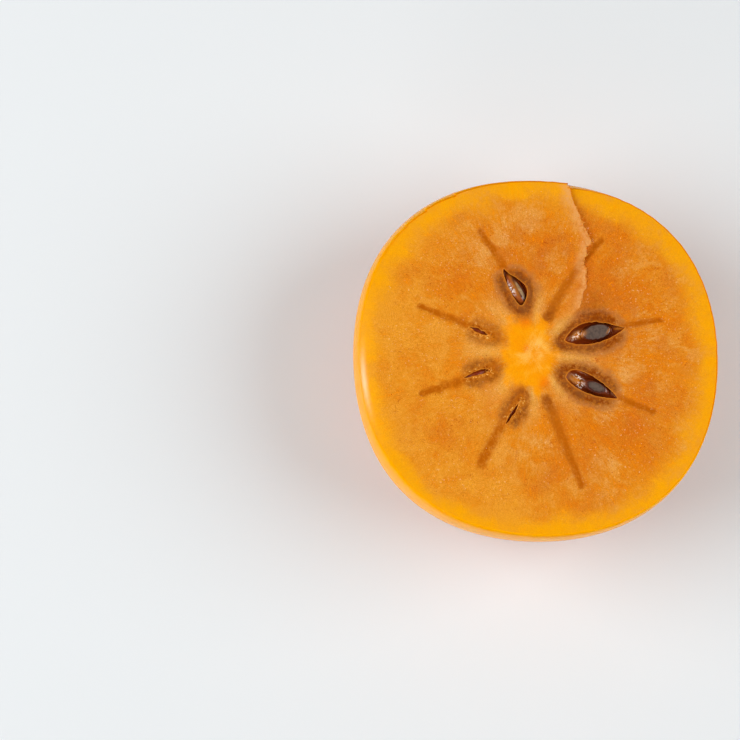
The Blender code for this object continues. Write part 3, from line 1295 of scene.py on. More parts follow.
@dataclass
class CutFace:
    """The knife's work: height and colouring of every place of the cut, in millimetres."""

    chambers: tuple[Chamber, ...]
    core: Pair = (-0.7, 0.9)
    height: float = 35.2
    step_start: float = 7.8
    step_slope: float = 1.15 / 27.6
    step_line: tuple[Pair, ...] = (
        *((7.8, 7.8), (9.9, 9.8), (11.4, 14.4), (11.5, 18.0), (10.9, 19.0), (11.5, 21.6), (11.5, 22.9)),
        *((12.5, 23.3), (12.6, 24.1), (11.3, 26.5), (10.2, 29.4), (8.7, 33.0), (6.2, 41.0)),
    )
    # Spots of deeper tone; the strong one right of the step partly paints the shade below it.
    blooms: tuple[tuple[Pair, float, float], ...] = (
        ((-17.5, 16.5), 5.0, 0.7),
        ((-19.0, -16.0), 6.0, 0.5),
        ((13.0, 11.5), 5.5, 1.3),
        ((16.0, 15.0), 6.5, 0.7),
        ((14.0, -22.5), 6.0, 0.4),
        ((20.0, -16.5), 6.0, 0.6),
        ((27.0, -9.0), 5.0, 0.5),
        ((6.5, -27.0), 6.5, 0.5),
        ((-5.0, 22.0), 6.0, 0.4),
        ((-27.0, -3.0), 6.0, 0.3),
        ((3.0, 19.0), 4.0, 0.5),
    )
    star: tuple[Pair, ...] = (
        *((0, 5.0), (20, 4.6), (43, 4.7), (60, 6.2), (75, 7.8), (92, 6.6), (110, 7.3), (127, 8.8)),
        *((146, 7.0), (160, 6.0), (178, 7.2), (196, 6.2), (214, 7.4), (230, 8.8), (248, 7.2)),
        *((262, 7.6), (276, 9.2), (290, 7.4), (305, 6.4), (330, 4.9)),
    )
    embers: tuple[tuple[Pair, float], ...] = (((-1.6, 6.9), 1.3), ((2.6, -6.4), 1.5), ((-1.4, 1.0), 0.7))
    veins: tuple[tuple[Pair, ...], ...] = (
        ((5.6, 1.6), (5.2, -1.2), (4.5, -3.8), (3.9, -6.0), (4.1, -8.0)),
        ((5.3, 5.7), (3.6, 6.5), (1.7, 7.5)),
    )
    # A darker spot on the lower side of the step: partly browning, partly painted shade below the step.
    browning_and_step_shade: tuple[Pair, float, float] = ((12.3, 10.2), 3.6, 0.42)
    # Amber marks paint light that comes through the jelly; the rest are painted highlights.
    marks: tuple[Mark, ...] = (
        Mark(Tint.AMBER, (9.9, 4.0), 1.5, 0.75, 20),
        Mark(Tint.AMBER, (16.1, 4.8), 0.8, 0.25, 60, 0.6),
        Mark(Tint.AMBER, (18.5, 5.3), 1.1, 0.3, 0, 0.55),
        Mark(Tint.AMBER, (9.3, -5.8), 1.6, 0.75, -27),
        Mark(Tint.AMBER, (-3.63, 13.68), 1.9, 0.6, -66, 0.7),
        Mark(Tint.AMBER, (-4.7, 16.24), 0.7, 0.35, -60, 0.5),
        # Painted highlights on the wet jelly and seeds.
        Mark(Tint.PAINTED_HIGHLIGHT, (9.34, 3.74), 1.25, 0.42, 39),
        Mark(Tint.PAINTED_HIGHLIGHT, (9.72, -5.13), 1.1, 0.34, -30),
        Mark(Tint.PAINTED_HIGHLIGHT, (10.04, -6.73), 0.85, 0.55, -35),
        Mark(Tint.PAINTED_HIGHLIGHT, (-4.34, 13.68), 1.3, 0.38, -62),
        Mark(Tint.PAINTED_HIGHLIGHT, (-11.1, -4.6), 0.7, 0.25, 10, 0.4),
    )
    halo_reach: tuple[float, ...] = (0.0, 0.35, 0.8, 1.3, 1.7, 2.1, 2.6, 3.4)
    halo_depth: tuple[float, ...] = (1.0, 0.85, 1.0, 0.93, 0.72, 0.44, 0.24, 0.0)
    slit_halo_depth: tuple[float, ...] = (0.5, 0.42, 0.66, 0.85, 0.8, 0.5, 0.2, 0.0)

    def __post_init__(self) -> None:
        """Trace the openings once, because everything is measured from them."""
        self.middle = np.array(self.core)
        self.mouths = {
            chamber.name: chamber.mouth.outline(number) + self.middle
            for number, chamber in enumerate(self.chambers)
            if chamber.mouth
        }
        self.step_path = self._ragged_step()

    def _ragged_step(self) -> Array:
        """Roughen the line of the knife's step.

        Returns:
            The line's points, one row each.
        """
        corners = np.array(self.step_line) + self.middle
        reach = np.concatenate([[0], np.cumsum(np.hypot(*np.diff(corners, axis=0).T))])
        along = np.arange(0, reach[-1], 0.3)
        line = np.stack([np.interp(along, reach, corners[:, axis]) for axis in (0, 1)], axis=1)
        flutter = 0.1 * ripple(along, 0 * along, 0.9, 5) + 0.1 * ripple(along, 0 * along, 2.3, 6)
        line[:, 0] += flutter * ease(0, 4, along)
        return line

    def on_lower_side(self, x: Array, y: Array) -> Array:
        """Tell which places lie beyond the step, where the second stroke ran lower."""
        edge = np.interp(y, self.step_path[:, 1], self.step_path[:, 0])
        return (y > self.step_path[0, 1]) & (x > edge + 0.06)

    def level(self, x: Array, y: Array) -> Array:
        """Give the knife's height, without the finer relief."""
        drop = np.maximum(0, (y - self.core[1] - self.step_start) * self.step_slope)
        return self.height - np.where(self.on_lower_side(x, y), drop, 0.0)

    def surface_height(self, x: Array, y: Array) -> Array:
        """Give the height of the cut flesh.

        Args:
            x: Places' x.
            y: Places' y.

        Returns:
            Heights in millimetres.
        """
        height = self.level(x, y) + 0.045 * ripple(x, y, 9.0, 11) + 0.02 * ripple(x, y, 2.6, 12)
        height -= 0.2 * self.grooves(x, y)[0]
        height += 0.03 * self.fringe(x, y)
        gap = self.nearest_mouth(x, y)[0]
        height += 0.07 * bell(gap, 0.22) - 0.22 * bell(gap - 1.0, 0.8)
        return height

    def grooves(self, x: Array, y: Array) -> tuple[Array, Array]:
        """Tell how much a place belongs to the closed line of a chamber.

        Args:
            x: Places' x.
            y: Places' y.

        Returns:
            0 to 1, and 0 to 1 for the dark core end of a line that holds no seed.
        """
        total, dark = np.zeros_like(x), np.zeros_like(x)
        for number, chamber in enumerate(self.chambers):
            trim = 0.7 * chamber.line_width / np.hypot(*np.subtract(*chamber.ends()))
            gap, where = distance_to_path(x, y, chamber.path(trim) + self.middle)
            swell = 1.12 - chamber.taper * where**2 + 0.2 * ripple(x, y, 2.0, 40 + number)
            band = (0.85 + 0.25 * where) * bell(gap, 0.7 * chamber.line_width * swell, 3.2)
            total = np.maximum(total, band)
            if not chamber.seed:
                fade = 0.7 * bell(where, 0.12) + 0.42 * ease(0.8, 0.0, where)
                dark = np.maximum(dark, band * fade)
        return total, dark

    def nearest_mouth(self, x: Array, y: Array) -> tuple[Array, Array, Array]:
        """Measure from the openings' edges.

        Args:
            x: Places' x.
            y: Places' y.

        Returns:
            The distance to the nearest edge, the nearest chamber's number, and how near its core end it is.
        """
        best, inward = np.full(np.shape(x), np.inf), np.zeros(np.shape(x))
        which = np.zeros(np.shape(x), dtype=int)
        for number, chamber in enumerate(self.chambers):
            if chamber.mouth:
                gap = distance_to_path(x, y, closed(self.mouths[chamber.name]))[0]
                turn = math.radians(chamber.mouth.direction)
                start = np.array(chamber.mouth.inner_end) + self.middle
                along = (x - start[0]) * math.cos(turn) + (y - start[1]) * math.sin(turn)
                nearer = gap < best
                best, which = np.where(nearer, gap, best), np.where(nearer, number, which)
                inward = np.where(nearer, 1 - along / chamber.mouth.length, inward)
        return best, which, inward

    def beside_step(self, x: Array, y: Array, width: Array | float, beyond: bool) -> Array:
        """Tell how much a place belongs to a band along one side of the step.

        Args:
            x: Places' x.
            y: Places' y.
            width: The band's width.
            beyond: Whether it lies on the lower side.

        Returns:
            0 to 1.
        """
        gap, where = distance_to_path(x, y, self.step_path)
        share = np.where(self.on_lower_side(x, y) == beyond, bell(gap, width), 0.0)
        return share * ease(0.0, 0.12, where)

    def fringe(self, x: Array, y: Array) -> Array:
        """Tell how much a place belongs to the pale edge left of the step."""
        return self.beside_step(x, y, 1.5 + 0.5 * ripple(x, y, 3.0, 21), beyond=False)

    def marked(self, points: Array) -> dict[str, Array]:
        """Work out the marks' tints.

        Args:
            points: The points, one row each.

        Returns:
            For each tint, values of 0 to 1.
        """
        x, y = points[:, 0] - self.core[0], points[:, 1] - self.core[1]
        return {
            tint.value: np.max([mark.share(x, y) for mark in self.marks if mark.tint is tint], axis=0)
            for tint in Tint
        }

    def colouring(self, x: Array, y: Array, rim_gap: Array) -> dict[str, Array]:
        """Work out every tint's strength.

        Args:
            x: Places' x.
            y: Places' y.
            rim_gap: Distance in from the skin.

        Returns:
            For each tint, values of 0 to 1.
        """
        cx, cy = x - self.core[0], y - self.core[1]
        radius, turn = np.hypot(cx, cy), np.arctan2(cy, cx)
        ray = 0.9 * self._rays(turn) * ease(3.5, 7.5, radius) * ease(18.0, 7.0, radius)
        tints = self._seed_tints(x, y, ray)
        star = np.interp(np.mod(np.degrees(turn), 360), *zip(*self.star), period=360)
        core = ease(star + 3.4, star - 3.2, radius + 0.9 * ripple(x, y, 2.6, 33))
        cream = 0.72 * bell(np.hypot(cx - 0.9, cy - 0.2), 3.8)
        for vein in self.veins:
            gap = distance_to_path(cx, cy, np.array(vein))[0]
            cream = np.maximum(cream, 0.5 * bell(gap, 1.0 + 0.4 * ripple(x, y, 1.7, 34)))
        # Tone: random deeper patches, and painted shade in a band on the lower side of the step.
        tone = 0.25 * ripple(x, y, 11.0, 35) + 0.7 * self.beside_step(x, y, 1.6, beyond=True)
        for place, size, strength in self.blooms:
            tone = tone + strength * spot(cx, cy, place, size)
        # Honey: strongest on the left, partly the flesh's own colour and partly painted light from the left;
        # a little near the rim.
        to_left, to_low_left = (radius * np.cos(turn - math.radians(way)) for way in (200, 245))
        honey = 0.9 * ease(-2.0, 24.0, to_left) + 0.35 * ease(26.0, 31.0, radius)
        width = 8.0 + 2.2 * ripple(x, y, 8.0, 36) - 1.6 * ease(5.0, 28.0, to_low_left)
        return {
            **tints,
            "core": core * (1 - 0.8 * tints["halo"]),
            "ember": np.clip(sum(spot(cx, cy, place, size) for place, size in self.embers), 0, 1),
            "cream": cream * (1 - tints["halo"]),
            "ray": np.clip(ray, 0, 1),
            "honey": np.clip(honey, 0, 1),
            "tone": np.clip(tone, -0.4, 1),
            "rim": ease(width, 0.05 * width, rim_gap),
            "fringe": self.fringe(x, y),
            "hollow": np.zeros_like(x),
        }

    def _seed_tints(self, x: Array, y: Array, ray: Array) -> dict[str, Array]:
        """Work out the tints round the openings and along the closed lines.

        Args:
            x: Places' x.
            y: Places' y.
            ray: How much a place belongs to a pale ray.

        Returns:
            For each tint, values of 0 to 1.
        """
        gap, which, inward = self.nearest_mouth(x, y)
        force = np.array([chamber.halo for chamber in self.chambers])[which]
        slit = np.array([chamber.slit for chamber in self.chambers])[which]
        ends = ease(-0.12, 0.22, inward)
        stray = gap * (1 + 0.12 * ripple(x, y, 2.4, 31)) - 0.25 * ease(0.6, 1.15, inward)
        depths = [np.interp(stray, self.halo_reach, d) for d in (self.slit_halo_depth, self.halo_depth)]
        halo = force * ends * np.where(slit, *depths) * (1 - 0.85 * ray * ease(0.6, 1.6, gap))
        ash = ease(0.02, 0.3, halo) * ease(0.8, 0.45, halo) * ease(1.1, 0.7, inward)
        # Darker spot below the step: partly browning, partly painted shade.
        place, size, strength = self.browning_and_step_shade
        browning_and_step_shade = strength * spot(x - self.core[0], y - self.core[1], place, size)
        groove, dark = self.grooves(x, y)
        halo = np.maximum(halo + np.where(self.on_lower_side(x, y), browning_and_step_shade, 0.0), dark)
        return {
            "halo": np.clip(halo, 0, 1),
            "ash": ash * np.where(slit, 0.12, 0.42),
            # Painted highlight along the openings' edges.
            "lip": bell(gap, 0.16),
            "gold": np.where(slit, ends * bell(gap, 0.95, 4), 0.0),
            "groove": groove,
        }

    def _rays(self, turn: Array) -> Array:
        """Give the pale rays that run out between neighbouring chambers.

        Args:
            turn: Directions from the core.

        Returns:
            0 to 1 for each direction.
        """
        turns = sorted(math.radians(chamber.inner[1]) % TURN for chamber in self.chambers)
        total = np.zeros_like(turn)
        for first, second in zip(turns, [*turns[1:], turns[0] + TURN]):
            away = turn_from(turn, (first + second) / 2)
            total = np.maximum(total, bell(away, 0.19 * (second - first)))
        return total


@dataclass
class FruitPiece:
    """The fruit in one closed piece: cut flesh, seed hollows, rim and skin."""

    form: FruitForm
    cut: CutFace
    flesh: FleshFinish
    skin: SkinFinish
    rim_radius: float = 0.26
    rim_reach: float = 37.6
    nicks: tuple[Pair, ...] = ((116.2, 0.42), (126.6, 0.36), (134.5, 0.2))
    shoulder_drop: float = 1.15
    clearance: float = 0.07
    mouth_depth: float = 1.0
    slit_depth: float = 1.6
    wall_shares: tuple[float, ...] = (0.03, 0.08, 0.15, 0.24, 0.34, 0.45, 0.57, 0.69, 0.81, 0.92)
    sides: int = 460
    skin_rows: int = 62
    coarse: float = 0.52
    fine: float = 0.2
    fine_reach: float = 1.25
    row_pitch: float = 0.866
    mesh_reach: float = 42.0
    step_width: float = 0.24
    line_gap: float = 0.07
    rim_margin: float = 0.14
    table_softness: float = 0.05
    shoulder_turn: float = 186.0
    shoulder_reach: float = 3.6
    gloss_turn: float = 187.5
    halvings: int = 44
    hollow_rows: int = 18
    well_inside: float = 20.0
    merge_gap: float = 1e-5

    def build(self) -> bpy.types.Object:
        """Build the fruit.

        Returns:
            The finished object.
        """
        shell = Shell()
        self._add_skin(shell)
        opened = [chamber for chamber in self.cut.chambers if chamber.mouth]
        loops = {chamber.name: self._add_hollow(shell, chamber) for chamber in opened}
        self._add_cut_face(shell, loops)
        shell.close_gaps(Surface.FLESH)
        return shell.to_object("sliced_fruit", self.flesh, self.skin)

    def azimuths(self) -> Array:
        """Choose directions round the fruit, crowded where the step and the nicks meet the rim.

        Returns:
            The directions in radians, in rising order.
        """
        crowded = [self.step_turn() + offset for offset in np.linspace(-0.012, 0.012, 13)]
        spread = np.linspace(-0.01, 0.01, 7)
        crowded += [math.radians(turn) + offset for turn, _ in self.nicks for offset in spread]
        return np.unique(np.round(np.mod(np.concatenate([circle(self.sides), crowded]), TURN), 5))

    def step_turn(self) -> float:
        """Find the direction in which the step meets the rim.

        Returns:
            The direction in radians.
        """
        line = self.cut.step_path
        x, y = line[np.argmax(np.hypot(*line.T) > self.rim_reach)]
        return math.atan2(y, x)

    def rim_gap(self, x: Array, y: Array) -> Array:
        """Measure how far places lie in from the cut's edge, along the radius.

        Args:
            x: Places' x.
            y: Places' y.

        Returns:
            Distances in millimetres, negative beyond the edge.
        """
        edge_x, edge_y = self.edge_loop.T
        turns, reach = np.arctan2(edge_y, edge_x), np.hypot(edge_x, edge_y)
        return np.interp(np.arctan2(y, x), turns, reach, period=TURN) - np.hypot(x, y)

    def rim_wobble(self, azimuth: Array) -> Array:
        """Give how far the knife's edge strays from the skin's own outline.

        Args:
            azimuth: Directions round the fruit.

        Returns:
            Outward offsets in millimetres.
        """
        beyond = turn_from(self.step_turn(), azimuth)
        offset = np.where(beyond > 0, -0.85 * np.exp(-beyond / 0.16), 0.2 * np.exp(beyond / 0.25))
        offset = np.where(np.abs(beyond) < 1.2, offset, 0.0)
        for turn, depth in self.nicks:
            past = turn_from(azimuth, math.radians(turn))
            offset += np.where((past > 0) & (past < 0.5), -depth * np.exp(-past / 0.06), 0.0)
        return offset + 0.035 * ripple(azimuth * 39, 0 * azimuth, 3.0, 51)

    def shoulder(self, azimuth: Array, gap: Array | float) -> Array:
        """Give how far the cut rounds over at its left, where the knife came out close to the skin.

        Args:
            azimuth: Directions round the fruit.
            gap: Distances in from the skin.

        Returns:
            The fall in millimetres.
        """
        side = turn_from(azimuth, math.radians(self.shoulder_turn))
        return self.shoulder_drop * (bell(side, 0.4, 4) * np.clip(1 - gap / self.shoulder_reach, 0, 1) ** 2)

    def gloss(self, azimuth: Array, gap: Array | float) -> Array:
        """Tell how much of the bare skin's shine a place of the soft rim has."""
        side = turn_from(azimuth, math.radians(self.gloss_turn))
        return 0.9 * bell(gap - 0.5, 0.45) * bell(side, 0.14)

    def _rim_polar(self, azimuth: Array) -> Array:
        """Find where the skin meets the knife's plane, by halving.

        Args:
            azimuth: Directions round the fruit.

        Returns:
            Angles from the blossom end, in radians.
        """
        low, high = (np.full_like(azimuth, math.radians(limit)) for limit in (60, 150))
        fall = self.shoulder(azimuth, 0.0)
        for _ in range(self.halvings):
            middle = (low + high) / 2
            x, y, z = self.form.point(azimuth, middle).T
            above = z > self.cut.level(x, y) - fall
            low, high = np.where(above, low, middle), np.where(above, middle, high)
        return (low + high) / 2

    def _add_skin(self, shell: Shell) -> None:
        """Add the rim and the skin, from the cut down to the blossom end.

        Args:
            shell: The mesh so far.
        """
        azimuth = self.azimuths()
        polar = self._rim_polar(azimuth)
        outward = np.stack([np.cos(azimuth), np.sin(azimuth), 0 * azimuth], axis=1)
        wobble = self.rim_wobble(azimuth)[:, None] * outward
        corner = self.form.point(azimuth, polar) + wobble
        edge = corner - self.rim_radius * outward
        lowered = self.cut.surface_height(edge[:, 0], edge[:, 1]) - self.shoulder(azimuth, 0.0)
        corner[:, 2] = edge[:, 2] = lowered
        self.edge_loop = edge[:, :2]
        start = polar - self.rim_radius * 1.1 / self.form.calyx_height
        skin_top = self._settle(self.form.point(azimuth, start)) + wobble
        bare = ease(-0.2, 0.35, np.sin(azimuth + math.radians(35)))
        shine = self.gloss(azimuth, 0.0)
        tints = {"rim": 1.0, "edge": bare, "scar": 0.0, "gloss": shine}
        self.edge_row = above = shell.add_points(edge, **tints)
        for share in (0.25, 0.5, 0.75):
            curve = (1 - share) ** 2 * edge + 2 * share * (1 - share) * corner + share**2 * skin_top
            row = shell.add_points(curve, **tints)
            shell.bridge(above, row, Surface.SKIN)
            above = row
        for share in np.linspace(0, 1, self.skin_rows) ** 1.06:
            turn = start + (0.012 - start) * share
            fade = bell((start - turn) * self.form.mean_radius, 2.2)
            points = self._settle(self.form.point(azimuth, turn)) + wobble * fade[:, None]
            scar = bell(np.hypot(points[:, 0], points[:, 1]), 2.6)
            row = shell.add_points(points, rim=0.0, scar=scar, gloss=shine * fade)
            shell.bridge(above, row, Surface.SKIN)
            above = row
        shell.cap(above, self._settle(self.form.pole()[None, :])[0], Surface.SKIN, scar=1.0)

    def _settle(self, points: Array) -> Array:
        """Flatten what would sink into the table.

        Args:
            points: The points, one row each.

        Returns:
            The points, none below the table.
        """
        settled = points.copy()
        settled[:, 2] = 0.5 * (points[:, 2] + np.sqrt(points[:, 2] ** 2 + self.table_softness**2))
        return settled

    def _add_hollow(self, shell: Shell, chamber: Chamber) -> Array:
        """Add the room round a seed, from its opening down.

        Args:
            shell: The mesh so far.
            chamber: The chamber.

        Returns:
            Numbers of the points along the opening's edge.
        """
        loop = self.cut.mouths[chamber.name]
        top = self.cut.surface_height(*loop.T)
        tints = self.cut.colouring(*loop.T, np.full(len(loop), self.well_inside))
        edge = above = shell.add_points(np.column_stack([loop, top]), **tints)
        slit = float(chamber.slit)
        depth_under = self.slit_depth if slit else self.mouth_depth
        room = SeedPiece(chamber, self.cut)
        rings = room.rings(len(loop), self.hollow_rows, self.clearance, depth_under)
        under = rings[-1]
        for number, share in enumerate(self.wall_shares):
            wall = (1 - share) * loop + share * under[:, :2]
            depth = top + (under[:, 2] - top) * (1 - (1 - share) ** 1.7)
            depth = depth + 0.05 * ripple(*wall.T, 0.8, 60 + number)
            hollow = min(1.0, 0.15 + 5 * share) if share < 0.1 else 0.6 + 0.4 * share
            points = np.column_stack([wall, depth])
            # Painted highlight on the top row of each opening's wall.
            lip = 0.0 if number else 0.8
            row = shell.add_points(points, hollow=hollow, lip=lip, gold=slit, **self.cut.marked(points))
            shell.bridge(row, above, Surface.FLESH)
            above = row
        for ring in rings[::-1]:
            row = shell.add_points(ring, hollow=1.0, gold=slit)
            shell.bridge(row, above, Surface.FLESH)
            above = row
        shell.cap(above[::-1], shell.middle(above), Surface.FLESH, hollow=1.0)
        return edge

    def _add_cut_face(self, shell: Shell, loops: dict[str, Array]) -> None:
        """Add the cut face between the rim and the openings.

        Args:
            shell: The mesh so far.
            loops: Numbers of the points along each opening's edge.
        """
        step = self.cut.step_path
        step = step[inside_loop(*step.T, self.edge_loop * 0.9975)]
        banks = [step, step + np.array([self.step_width, 0.0])]
        lines = [self.edge_loop, *(self.cut.mouths[name] for name in loops), *banks]
        ties: list[tuple[int, int]] = []
        start = 0
        for number, line in enumerate(lines):
            ties += [(start + i, start + i + 1) for i in range(len(line) - 1)]
            if number <= len(loops):
                ties.append((start + len(line) - 1, start))
            start += len(line)
        corners = np.vstack([*lines, self._spread(banks)])
        flat = [Vector(point) for point in corners.tolist()]
        placed, _, faces, origin, _, _ = delaunay_2d_cdt(flat, ties, [], 1, self.merge_gap)
        known = np.concatenate([self.edge_row, *loops.values()])
        self._stitch(shell, np.array([tuple(point) for point in placed]), faces, origin, known)

    def _spread(self, banks: list[Array]) -> Array:
        """Spread points over the face, close together where it has detail.

        Args:
            banks: Both lines of the step.

        Returns:
            The points, one row each.
        """
        chance = np.random.default_rng(3)
        found = []
        for pitch, wants_detail in ((self.fine, True), (self.coarse, False)):
            count = int(2 * self.mesh_reach / pitch)
            across, up = np.meshgrid(np.arange(count), np.arange(int(count / self.row_pitch)))
            shake_x, shake_y = (chance.uniform(-0.2, 0.2, across.shape) * pitch for _ in range(2))
            x = (across + 0.5 * (up % 2)) * pitch - self.mesh_reach + shake_x
            y = up * self.row_pitch * pitch - self.mesh_reach + shake_y
            points = np.column_stack([x.ravel(), y.ravel()])
            points = points[np.hypot(*points.T) < self.mesh_reach]
            detailed = self._detail_gap(*points.T, banks[0]) < self.fine_reach
            found.append(points[detailed == wants_detail])
        points = np.vstack(found)
        mouths = self.cut.mouths.values()
        keep = self.rim_gap(*points.T) > self.rim_margin
        for mouth in mouths:
            keep &= ~inside_loop(*points.T, mouth)
        for path in (*(closed(mouth) for mouth in mouths), *banks):
            keep &= distance_to_path(*points.T, path)[0] > self.line_gap
        return points[keep]

    def _detail_gap(self, x: Array, y: Array, step: Array) -> Array:
        """Measure how far places are from anything that needs a fine mesh.

        Args:
            x: Places' x.
            y: Places' y.
            step: The step's line.

        Returns:
            Distances in millimetres.
        """
        gap = distance_to_path(x, y, step)[0]
        for chamber in self.cut.chambers:
            gap = np.minimum(gap, distance_to_path(x, y, chamber.path() + self.cut.middle)[0] + 0.15)
        gap = np.minimum(gap, self.cut.nearest_mouth(x, y)[0])
        return np.minimum(gap, self.rim_gap(x, y) + 0.75)

    def _stitch(self, shell: Shell, flat: Array, faces: list, origin: list, known: Array) -> None:
        """Add the face's triangles, on the points that rim and openings already have.

        Args:
            shell: The mesh so far.
            flat: All points of the triangulation, one row each.
            faces: Its triangles.
            origin: Which given points each one comes from.
            known: Numbers that the first given points have in the mesh.
        """
        number = np.full(len(flat), -1)
        for index, sources in enumerate(origin):
            shared = [source for source in sources if source < len(known)]
            if shared:
                number[index] = known[shared[0]]
        new = number < 0
        x, y = flat[new].T
        turn, gap = np.arctan2(y, x), np.maximum(0, self.rim_gap(x, y))
        height = self.cut.surface_height(x, y) - self.shoulder(turn, gap)
        tints = {**self.cut.colouring(x, y, self.rim_gap(x, y)), "gloss": self.gloss(turn, gap)}
        number[new] = shell.add_points(np.column_stack([x, y, height]), **tints)
        triangles = np.array([face for face in faces if len(face) == 3])
        middle = flat[triangles].mean(axis=1)
        keep = inside_loop(*middle.T, self.edge_loop)
        for mouth in self.cut.mouths.values():
            keep &= ~inside_loop(*middle.T, mouth)
        triangles = triangles[keep]
        a, b, c = (flat[triangles[:, i]] for i in range(3))
        turn = (b[:, 0] - a[:, 0]) * (c[:, 1] - a[:, 1]) - (b[:, 1] - a[:, 1]) * (c[:, 0] - a[:, 0])
        triangles = np.where((turn > 0)[:, None], triangles, triangles[:, ::-1])
        shell.add_faces(number[triangles], Surface.FLESH)


class Grown:
    """Base for what a node tree repeats over lines or faces."""

    ceiling = 35.38

    @staticmethod
    def tree(name: str, inputs: dict[str, tuple[str, Any]]) -> tuple[Sheet, Made]:
        """Start a geometry tree with named inputs.

        Args:
            name: The tree's name.
            inputs: For each input, its socket type and its default.

        Returns:
            The sheet and its group input.
        """
        group = bpy.data.node_groups.new(name, "GeometryNodeTree")
        group.interface.new_socket("Geometry", in_out="INPUT", socket_type="NodeSocketGeometry")
        for label, (kind, value) in {**inputs, "Finish": ("NodeSocketMaterial", None)}.items():
            socket = group.interface.new_socket(label, in_out="INPUT", socket_type=kind)
            if value is not None:
                socket.default_value = value
        group.interface.new_socket("Geometry", in_out="OUTPUT", socket_type="NodeSocketGeometry")
        sheet = Sheet(group)
        return sheet, sheet.node("NodeGroupInput")

    @staticmethod
    def finish_tree(sheet: Sheet, given: Made, geometry: Value, smooth: bool = True) -> None:
        """End a tree: make its copies real, shade them and dress them.

        Args:
            sheet: The tree so far.
            given: The group's inputs.
            geometry: What it has made.
            smooth: Whether the faces are shaded smooth.
        """
        geometry = sheet.node("GeometryNodeRealizeInstances", {"Geometry": geometry})["Geometry"]
        if smooth:
            geometry = sheet.node("GeometryNodeSetShadeSmooth", {"Geometry": geometry})["Geometry"]
        sockets = {"Geometry": geometry, "Material": given["Finish"]}
        dressed = sheet.node("GeometryNodeSetMaterial", sockets)["Geometry"]
        sheet.node("NodeGroupOutput", {"Geometry": dressed})

    @staticmethod
    def settle(host: bpy.types.Object, sheet: Sheet, settings: dict[str, Any], name: str) -> bpy.types.Object:
        """Run the tree on its host and keep the result as a plain mesh.

        Args:
            host: The object with the lines or faces, removed afterwards.
            sheet: The finished tree.
            settings: A value for each named input.
            name: The new piece's name.

        Returns:
            The piece.
        """
        modifier = host.modifiers.new(name, "NODES")
        modifier.node_group = sheet.tree
        for item in sheet.tree.interface.items_tree:
            if item.in_out == "INPUT" and item.name in settings:
                modifier[item.identifier] = settings[item.name]
        graph = bpy.context.evaluated_depsgraph_get()
        mesh = bpy.data.meshes.new_from_object(host.evaluated_get(graph))
        mesh.name = name
        place = read_points(mesh)
        place[:, 2] = np.minimum(place[:, 2], Grown.ceiling * MM)
        mesh.vertices.foreach_set("co", place.ravel())
        dressed_in = [material for material in mesh.materials if material]
        mesh.materials.clear()
        mesh.materials.append(dressed_in[0])
        mesh.polygons.foreach_set("material_index", np.zeros(len(mesh.polygons), dtype=np.int32))
        bpy.data.objects.remove(host)
        return add_object(name, mesh)


